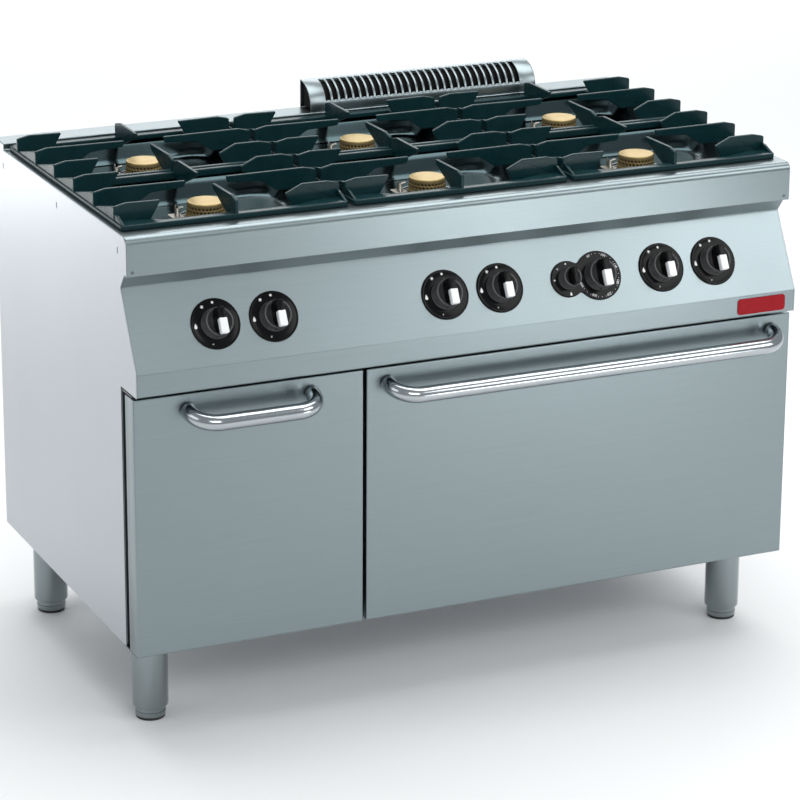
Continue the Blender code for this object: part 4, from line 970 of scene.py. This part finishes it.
def make_pan_support(side):
    """One cast grid over two burners: a rim, six rows of fins to each side, webs between the fins' roots, corner
    plates, two rails across the middle and the centre fins."""
    low, high = SUPPORTS[side]
    cx, cy = (low + high)[:2] / 2
    hx, hy = (high - low)[:2] / 2
    z0 = low[2]
    inner = rounded_rectangle((cx, cy), (hx - 0.012, hy - 0.017), 0.008)
    parts = [ring_slab(rounded_rectangle((cx, cy), (hx, hy), 0.008), inner, z0, z0 + 0.0085, 0.0018)]
    rows = [(i - 2.5) * FIN_PITCH for i in range(6)]
    long_reach, short_reach = hx - 0.036, {-1: 0.080, 1: 0.096}
    for i, dy in enumerate(rows):
        for way in (-1, 1):
            if i in (1, 4):
                outline = fin_outline("long", long_reach)
            else:
                outline = fin_outline("nose" if way > 0 and i in (0, 2, 3) else "plain", short_reach[way])
            flat = np.stack([cx + way * (hx - 0.0008 - outline[:, 0]), z0 + outline[:, 1]], 1)
            parts.append(slab(flat, cy + dy - FIN_THICK / 2, cy + dy + FIN_THICK / 2, FIN_EDGE, "xz"))

    def add_webs(corners, radii):
        """The same web on both sides of the grid."""
        web = fillet([(cy + dy, z0 + dz) for dy, dz in corners], radii)
        for way in (-1, 1):
            x = cx + way * (hx - 0.0046)
            parts.append(slab(web, x - 0.0024, x + 0.0024, 0.0012, "yz"))

    for ahead, behind in zip(rows[:-1], rows[1:]):
        foot = [(ahead, 0.001), (behind - 0.004, 0.001), (behind - 0.004, 0.0092)]
        add_webs(foot + [(ahead + 0.016, 0.0272), (ahead, 0.0285)], [0, 0, 0.001, 0.010, 0.002])
    for way_y, root in ((-1, rows[0]), (1, rows[-1])):
        edge = way_y * (hy - 0.004)
        slope = [(root, 0.020), (root + way_y * 0.014, 0.018), (edge, 0.009)]
        add_webs([(edge, 0.001), (root, 0.001)] + slope, [0, 0, 0.001, 0.008, 0.003])
        for way in (-1, 1):
            outer, middle = way_y * (hy - 0.003), way_y * (hy - 0.024)
            corners = [(0.003, outer), (0.090, outer), (0.074, middle), (0.030, root + way_y * 0.002)]
            corners.append((0.003, root))
            plate = [(cx + way * (hx - inward), cy + dy) for inward, dy in corners]
            plate = fillet(plate, [0.002, 0.010, 0.020, 0.020, 0.002])
            parts.append(slab(plate, z0 + 0.0012, z0 + 0.0072, 0.0015))
    bars = [(-0.0085, 0.006, 0.0045, 0.0008, 0.0125, 0.0016), (0.0085, 0.006, 0.0045, 0.0008, 0.0125, 0.0016)]
    bars.append((0, 0.008, 0.006, 0.0012, 0.0070, 0.001))
    for dy, end_gap, half_wide, bottom, top, edge in bars:
        bar = rounded_rectangle((cx, cy + dy), (hx - end_gap, half_wide), 0.002, 3)
        parts.append(slab(bar, z0 + bottom, z0 + top, edge))
    burner_dy = 1.5 * FIN_PITCH
    arm = burner_dy - 0.037 - 0.004
    end = hy - burner_dy - 0.037
    for root, way, length in ((-hy + 0.002, 1, end), (-0.004, -1, arm), (0.004, 1, arm), (hy - 0.002, -1, end)):
        outline = fin_outline("centre", length)
        flat = np.stack([cy + root + way * outline[:, 0], z0 + outline[:, 1]], 1)
        parts.append(slab(flat, cx - FIN_THICK / 2, cx + FIN_THICK / 2, FIN_EDGE, "yz"))
    body = f"pan_support_{side}"
    piece(f"cast_support_{side}", *merge(parts), ENAMEL, body, "support_enamel", [body], angle=55)


# ---------------------------------------------------------------- flue cover


def make_flue_cover():
    """A quarter-round louvre: the side's arc, y = b - w cos a and z = s + h sin a, carried along X. Faces inside
    the slots are left out, and the bars between them are crowned by c (1 - t)^2, t from the bar's edge."""
    (left, front, base), (right, back, top) = box_of("flue_grille")
    slots, pitch, width, crown_high = 28, 0.014, 0.0092, 0.0007
    middle = (left + right) / 2
    start = base + 0.008
    a = np.linspace(0, np.pi / 2, 25)
    arc = np.stack([back - (back - front) * np.cos(a), start + (top - start) * np.sin(a)], 1)
    foot = [(front, base), (front, base + 0.004)]
    path = np.concatenate([foot, arc, [(back, top - 0.004), (back, base + 0.012), (back, base)]])
    bar = pitch - width
    slotted = (slots * pitch - bar) / 2
    columns, kinds = [left, left + 0.0012, middle - slotted - 0.0015], [False, False, False]
    for i in range(slots):
        x = middle + (i - (slots - 1) / 2) * pitch
        columns += [x - width / 2, x + width / 2]
        kinds += [True, False]
        if i < slots - 1:
            columns += [x + width / 2 + bar * t for t in (0.25, 0.5, 0.75)]
            kinds += [False] * 3
    xs = np.array(columns + [middle + slotted + 0.0015, right - 0.0012, right])
    open_column = np.array(kinds + [False] * 2)
    level = (path[:, 1] > base + 0.0165) & (path[:, 0] < back - 0.007)
    open_row = level[:-1] & level[1:]
    keep = ~(open_row[:, None] & open_column[None, :])
    ahead = along(path)
    inward = np.stack([ahead[:, 1], -ahead[:, 0]], 1)
    nearest = (xs - middle) / pitch + (slots - 1) / 2
    from_bar = np.abs(nearest - np.floor(nearest) - 0.5) * pitch * 2 / bar
    between = np.abs(xs - middle) < slotted + 0.0001
    crown = np.where(between, crown_high * np.clip(from_bar, 0, 1) ** 2, 0)
    shift = inward[:, None, :] * (crown[None, :, None] * level[:, None, None])
    y = path[:, 0:1] + shift[..., 0]
    z = path[:, 1:2] + shift[..., 1]
    points = np.stack([np.broadcast_to(xs, y.shape), y, z], -1).reshape(-1, 3)
    mesh = mesh_of("flue_cover", points, grid_faces(len(path), len(xs), keep=keep))
    work = bmesh.new()
    work.from_mesh(mesh)
    loose = [v for v in work.verts if not v.link_faces]
    bmesh.ops.delete(work, geom=loose, context="VERTS")
    work.to_mesh(mesh)
    work.free()
    mesh.materials.append(STEEL_UPRIGHT)
    mesh.shade_smooth()
    mesh.set_sharp_from_angle(angle=math.radians(50))
    on_body(thickened("flue_cover", mesh, 0.0012), "flue_grille", ["flue_grille"])
    # A near-black sheet just inside the louvre: painted shade behind the slots.
    gap = 0.007
    y, z = back - gap - (back - front - 2 * gap) * np.cos(a), start + (top - start - gap) * np.sin(a)
    inner = np.concatenate([[(front + gap, base + 0.003)], np.stack([y, z], 1), [(back - gap, base + 0.003)]])
    part = slab(inner, left + 0.004, right - 0.004, 0.0004, "yz", 2)
    piece("flue_slot_shade", *part, SLOT_SHADE, "flue_grille", "brushed_steel", angle=50)


# ---------------------------------------------------------------- doors


def door_tray(centre, half, front, back, edge, wall):
    """A folded door skin: its outline's front edge is rounded by edge, its sides run back and return inside."""
    a = np.linspace(0, np.pi / 2, 6)
    levels = [(edge + 0.0012, front)]
    levels += [(edge * (1 - math.sin(t)), front + edge * (1 - math.cos(t))) for t in a]
    levels += [(0, back - 0.0004), (0.0004, back), (wall - 0.0002, back)]
    levels += [(wall, back - 0.0004), (wall, front + wall)]
    loops = []
    for shrink, y in levels:
        corner = max(0.0018 - shrink, 0.0003)
        loops.append(lifted(rounded_rectangle(centre, half - shrink, corner, 4), y)[:, [0, 2, 1]])
    return rings(loops)


def make_door(name, node, body):
    """A door's skin over the whole of its box."""
    low, high = box_of(node)
    part = door_tray((low + high)[[0, 2]] / 2, (high - low)[[0, 2]] / 2, low[1], high[1], 0.0020, SHEET)
    made = piece(name, *part, STEEL, body, "brushed_steel", [node], angle=50)
    if node == "oven_door_panel":
        cut_hinge_notches(made, low, high)


def cut_hinge_notches(door, low, high):
    """Slots in the door's bottom fold for the hinge's arms, when the door is down, and holes for its pin."""
    seal_low, seal_high = box_of("oven_door_gasket")
    _, pin_y, pin_z = JOINTS["oven_door_hinge_turn"]["pos_m"]
    half_slot, over, pin_hole_r = 0.0040, 0.01, 0.0047
    parts = []
    for x in (seal_low[0] + 0.014 - 0.030, seal_high[0] - 0.014 + 0.030):
        slot = rectangle(x - half_slot, x + half_slot, low[2] - over, low[2] + 0.004)
        parts.append(slab(slot, pin_y - 0.010, high[1] + over, 0.0002, "xz", 1))
    for x in (low[0], high[0]):
        pin = [(x - 0.005, pin_y, pin_z), (x, pin_y, pin_z), (x + 0.005, pin_y, pin_z)]
        parts.append(sweep(pin, pin_hole_r))
    cutter = linked("notches", mesh_of("notches", *merge(parts)))
    step = door.modifiers.new("notch", "BOOLEAN")
    step.object = cutter
    result = evaluated(door)
    door.modifiers.remove(step)
    door.data = result
    bpy.data.objects.remove(cutter, do_unlink=True)


def make_handle(name, node, body, door_node):
    """A bent tube from the door and back: straight out, a quarter arc of the bend's radius, along, and back; the
    plane of the bow tips down by 15 degrees."""
    low, high = box_of(node)
    radius, bend, tilt = 0.0135, 0.040, math.radians(15)
    face = box_of(door_node)[0][1]
    half = (high[0] - low[0]) / 2 - radius
    reach = (face - low[1] - radius) / math.cos(tilt)
    out = np.array([0, -math.cos(tilt), -math.sin(tilt)])
    a = np.linspace(np.pi, np.pi / 2, 15)
    left = np.stack([-half + bend + bend * np.cos(a), reach - bend + bend * np.sin(a)], 1)
    straight = np.linspace(-half + bend, half - bend, 24)[1:-1]
    middle = np.stack([straight, np.full(len(straight), reach)], 1)
    lead = np.array([[-half, 0.0025]])
    flat = np.concatenate([lead, left, middle, left[::-1] * [-1, 1], lead * [-1, 1]])
    root = np.array([(low[0] + high[0]) / 2, face, high[2] - radius * 0.97])
    tube = sweep(root + flat[:, :1] * [1, 0, 0] + flat[:, 1:] * out, radius, 40)
    piece(name, *tube, TUBE_STEEL, body, "polished_steel", [node], angle=50)


def make_badge():
    """A plain red plate with no lettering."""
    centre = (0.5335, 0.6150)
    outer = rounded_rectangle(centre, (0.0465, 0.0140), 0.0058)
    plate = slab(outer, BAND_Y - 0.0014, BAND_Y - 0.0001, 0.0005, "xz")
    piece("front_plate", *plate, RED_PLATE, "cabinet", "brushed_steel", angle=50)


# ---------------------------------------------------------------- legs, inside and back


def make_legs():
    """Four tubes, each with a screwed foot and the foot's rubber pad."""
    for spot in ("front_left", "front_right", "rear_left", "rear_right"):
        node, body = f"leg_tube_{spot}", f"adjusting_foot_{spot}"
        low, high = box_of(node)
        where = (*(low + high)[:2] / 2, 0)
        r = (high[0] - low[0]) / 2
        foot_low, foot_high = box_of(body)
        f, top = (foot_high[0] - foot_low[0]) / 2, foot_high[2]
        tube = [(r - 0.0030, low[2] + 0.0006), (r - 0.0016, low[2]), (r - 0.0006, low[2] + 0.0008)]
        tube += [(r, low[2] + 0.0040), (r, high[2] - 0.0042), (r, high[2]), (r - 0.0030, high[2])]
        part = placed(tube_lathe(tube, 72), where)
        piece(f"leg_{spot}", *part, LEG_STEEL, "cabinet", "brushed_steel", [node], angle=50)
        foot = [(0.0005, 0.0042), (f - 0.0016, 0.0042), (f - 0.0004, 0.0052), (f, 0.0068), (f, 0.0130)]
        foot += [(f - 0.0008, 0.0136), (f - 0.0008, 0.0146), (f, 0.0152)]
        foot += [(f, top - 0.001), (f - 0.001, top), (0.0005, top)]
        piece(f"foot_{spot}", *placed(lathe(foot), where), LEG_STEEL, body, "dark_steel", [body], angle=50)
        pad = [(0.0005, 0.0), (f - 0.0026, 0.0), (f - 0.0014, 0.0010)]
        pad += [(f - 0.0010, 0.0034), (f - 0.0018, 0.0043), (0.0005, 0.0043)]
        piece(f"foot_pad_{spot}", *placed(lathe(pad), where), RUBBER, body, "dark_steel", angle=50)


def make_rack():
    """Round wires: a rectangle of thick rod with thin wires from front to back."""
    low, high = box_of("oven_rack")
    r = (high[2] - low[2]) / 2
    z = low[2] + r
    centre = (low + high)[:2] / 2
    frame_line = rounded_rectangle(centre, (high - low)[:2] / 2 - r, 0.012)
    parts = [sweep(lifted(np.concatenate([frame_line, frame_line[:1]]), z), r, 14)]
    wires = 13
    for i in range(wires):
        x = low[0] + (high[0] - low[0]) * (i + 1) / (wires + 1)
        parts.append(sweep(np.linspace((x, low[1] + r, z), (x, high[1] - r, z), 3), 0.0025, 10))
    ends = [(low[0] + r, centre[1], z - 0.0005), (high[0] - r, centre[1], z - 0.0005)]
    parts.append(sweep(np.linspace(*ends, 3), 0.003, 10))
    piece("wire_rack", *merge(parts), WIRE, "oven_rack", "rack_wire", ["oven_rack"], angle=60)


def make_back_details():
    """Pan-head screws round the back panel and on the base's edge."""
    turn = Matrix.Rotation(-math.pi / 2, 3, "X")
    head = [(0.0002, 0.0010), (0.0010, 0.0010), (0.0012, 0.0016)]
    head = lathe(head + [(0.0028, 0.0014), (0.0040, 0.0006), (0.0042, 0.0)], 24)
    left, right = LEFT_X + 0.020, RIGHT_X - 0.020
    spots = [(x, z) for x in np.linspace(left, right, 6) for z in (0.172, 0.835)]
    spots += [(x, z) for x in (left, right) for z in (0.39, 0.61)]
    parts = [placed(head, (x, BACK_Y - 0.0017, z), turn) for x, z in spots]
    piece("back_screws", *merge(parts), TUBE_STEEL, "cabinet", "brushed_steel", angle=50)


CAD_LOOKS = {
    "back_panel": SIDE_STEEL,
    "base_panel": SIDE_STEEL,
    "centre_partition": SIDE_STEEL,
    "flue_duct": DARK_STEEL,
    "gas_manifold": PILOT_METAL,
    "oven_chamber": OVEN_ENAMEL,
    "oven_burner": DARK_STEEL,
    "oven_floor_plate": OVEN_ENAMEL,
    "oven_door_liner": OVEN_ENAMEL,
    "oven_door_gasket": RUBBER,
    "oven_door_hinge": DARK_STEEL,
    "cabinet_door_hinge": DARK_STEEL,
}


def dress_cad_nodes():
    """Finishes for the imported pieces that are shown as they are."""
    for node, look in CAD_LOOKS.items():
        mesh = NODES[node].data
        mesh.materials.clear()
        mesh.materials.append(look)


# ---------------------------------------------------------------- studio


def area_light(name, place, aim, size, power):
    """A soft rectangular light turned towards its aim."""
    data = bpy.data.lights.new(name, "AREA")
    data.shape = "RECTANGLE"
    data.size, data.size_y = size
    data.energy = power
    made = linked(name, data)
    made.location = place
    made.rotation_euler = (Vector(aim) - Vector(place)).to_track_quat("-Z", "Y").to_euler()


def make_studio():
    """A pale floor, an even pale surround and the soft lights."""
    g = Graph("pale_floor", Roughness=0.9)
    cloud = g.noise(g.object_space(), 1.5, 2.0)
    g.set("Base Color", g.blend(cloud, (0.86, 0.86, 0.86), (0.89, 0.89, 0.89)))
    half_floor = 14.0
    xs = np.linspace(-half_floor, half_floor, 3)
    x, y = np.meshgrid(xs, xs)
    points = np.stack([x, y, np.zeros_like(x)], -1).reshape(-1, 3)
    floor = linked("studio_floor", mesh_of("studio_floor", points, grid_faces(3, 3)))
    floor.data.materials.append(g.material)
    world = bpy.data.worlds.new("studio")
    world.use_nodes = True
    background = world.node_tree.nodes["Background"].inputs
    background["Color"].default_value = (0.90, 0.96, 1.0, 1)
    background["Strength"].default_value = 0.42
    bpy.context.scene.world = world
    area_light("left_softbox", (-4.6, -0.4, 2.6), (-0.6, 0.0, 0.7), (3.4, 2.2), 28)
    area_light("side_strip", (-1.75, 2.5, 0.35), (-0.6, 0.0, 0.8), (1.3, 0.5), 5)
    area_light("top_softbox", (0.4, 0.6, 4.2), (0, 0.1, 0.0), (5.0, 2.6), 130)
    area_light("panel_softbox", (2.7, -3.2, 2.9), (0.3, -0.3, 0.7), (2.3, 1.7), 40)
    area_light("low_strip", (0.95, -2.0, 0.34), (0.1, -0.35, 0.80), (0.75, 0.25), 3.2)
    area_light("front_fill", (-1.0, -5.5, 3.6), (0, -0.3, 0.3), (3.0, 1.6), 95)
    area_light("floor_wash", (3.5, 9.0, 5.0), (3.0, 8.0, 0.0), (9.0, 6.0), 520)


def make_camera():
    """The front three-quarter view from above, with a long lens."""
    data = bpy.data.cameras.new("camera")
    data.sensor_width = 36.0
    data.lens = 146.1
    data.shift_y = -0.10
    data.clip_end = 60.0
    made = linked("camera", data)
    yaw, pitch, roll = (math.radians(v) for v in (-24.61, -17.09, -0.31))
    turn = Matrix.Rotation(yaw, 4, "Z") @ Matrix.Rotation(pitch, 4, "X") @ Matrix.Rotation(roll, 4, "Y")
    level = Matrix.Rotation(math.pi / 2, 4, "X")
    made.matrix_world = Matrix.Translation((-2.238, -4.897, 2.216)) @ turn @ level
    bpy.context.scene.camera = made
    bpy.context.scene.view_settings.view_transform = "Standard"


make_camera()
make_studio()
make_worktop()
make_side_panels()
make_control_panel()
make_knobs()
for burner in BURNER_NAMES:
    make_burner(burner)
for support in SUPPORTS:
    make_pan_support(support)
make_flue_cover()
for door in ("oven", "cabinet"):
    make_door(f"{door}_door_skin", f"{door}_door_panel", f"{door}_door")
for door in ("oven", "cabinet"):
    make_handle(f"{door}_handle_tube", f"{door}_door_handle", f"{door}_door", f"{door}_door_panel")
make_badge()
make_legs()
make_rack()
make_back_details()
dress_cad_nodes()
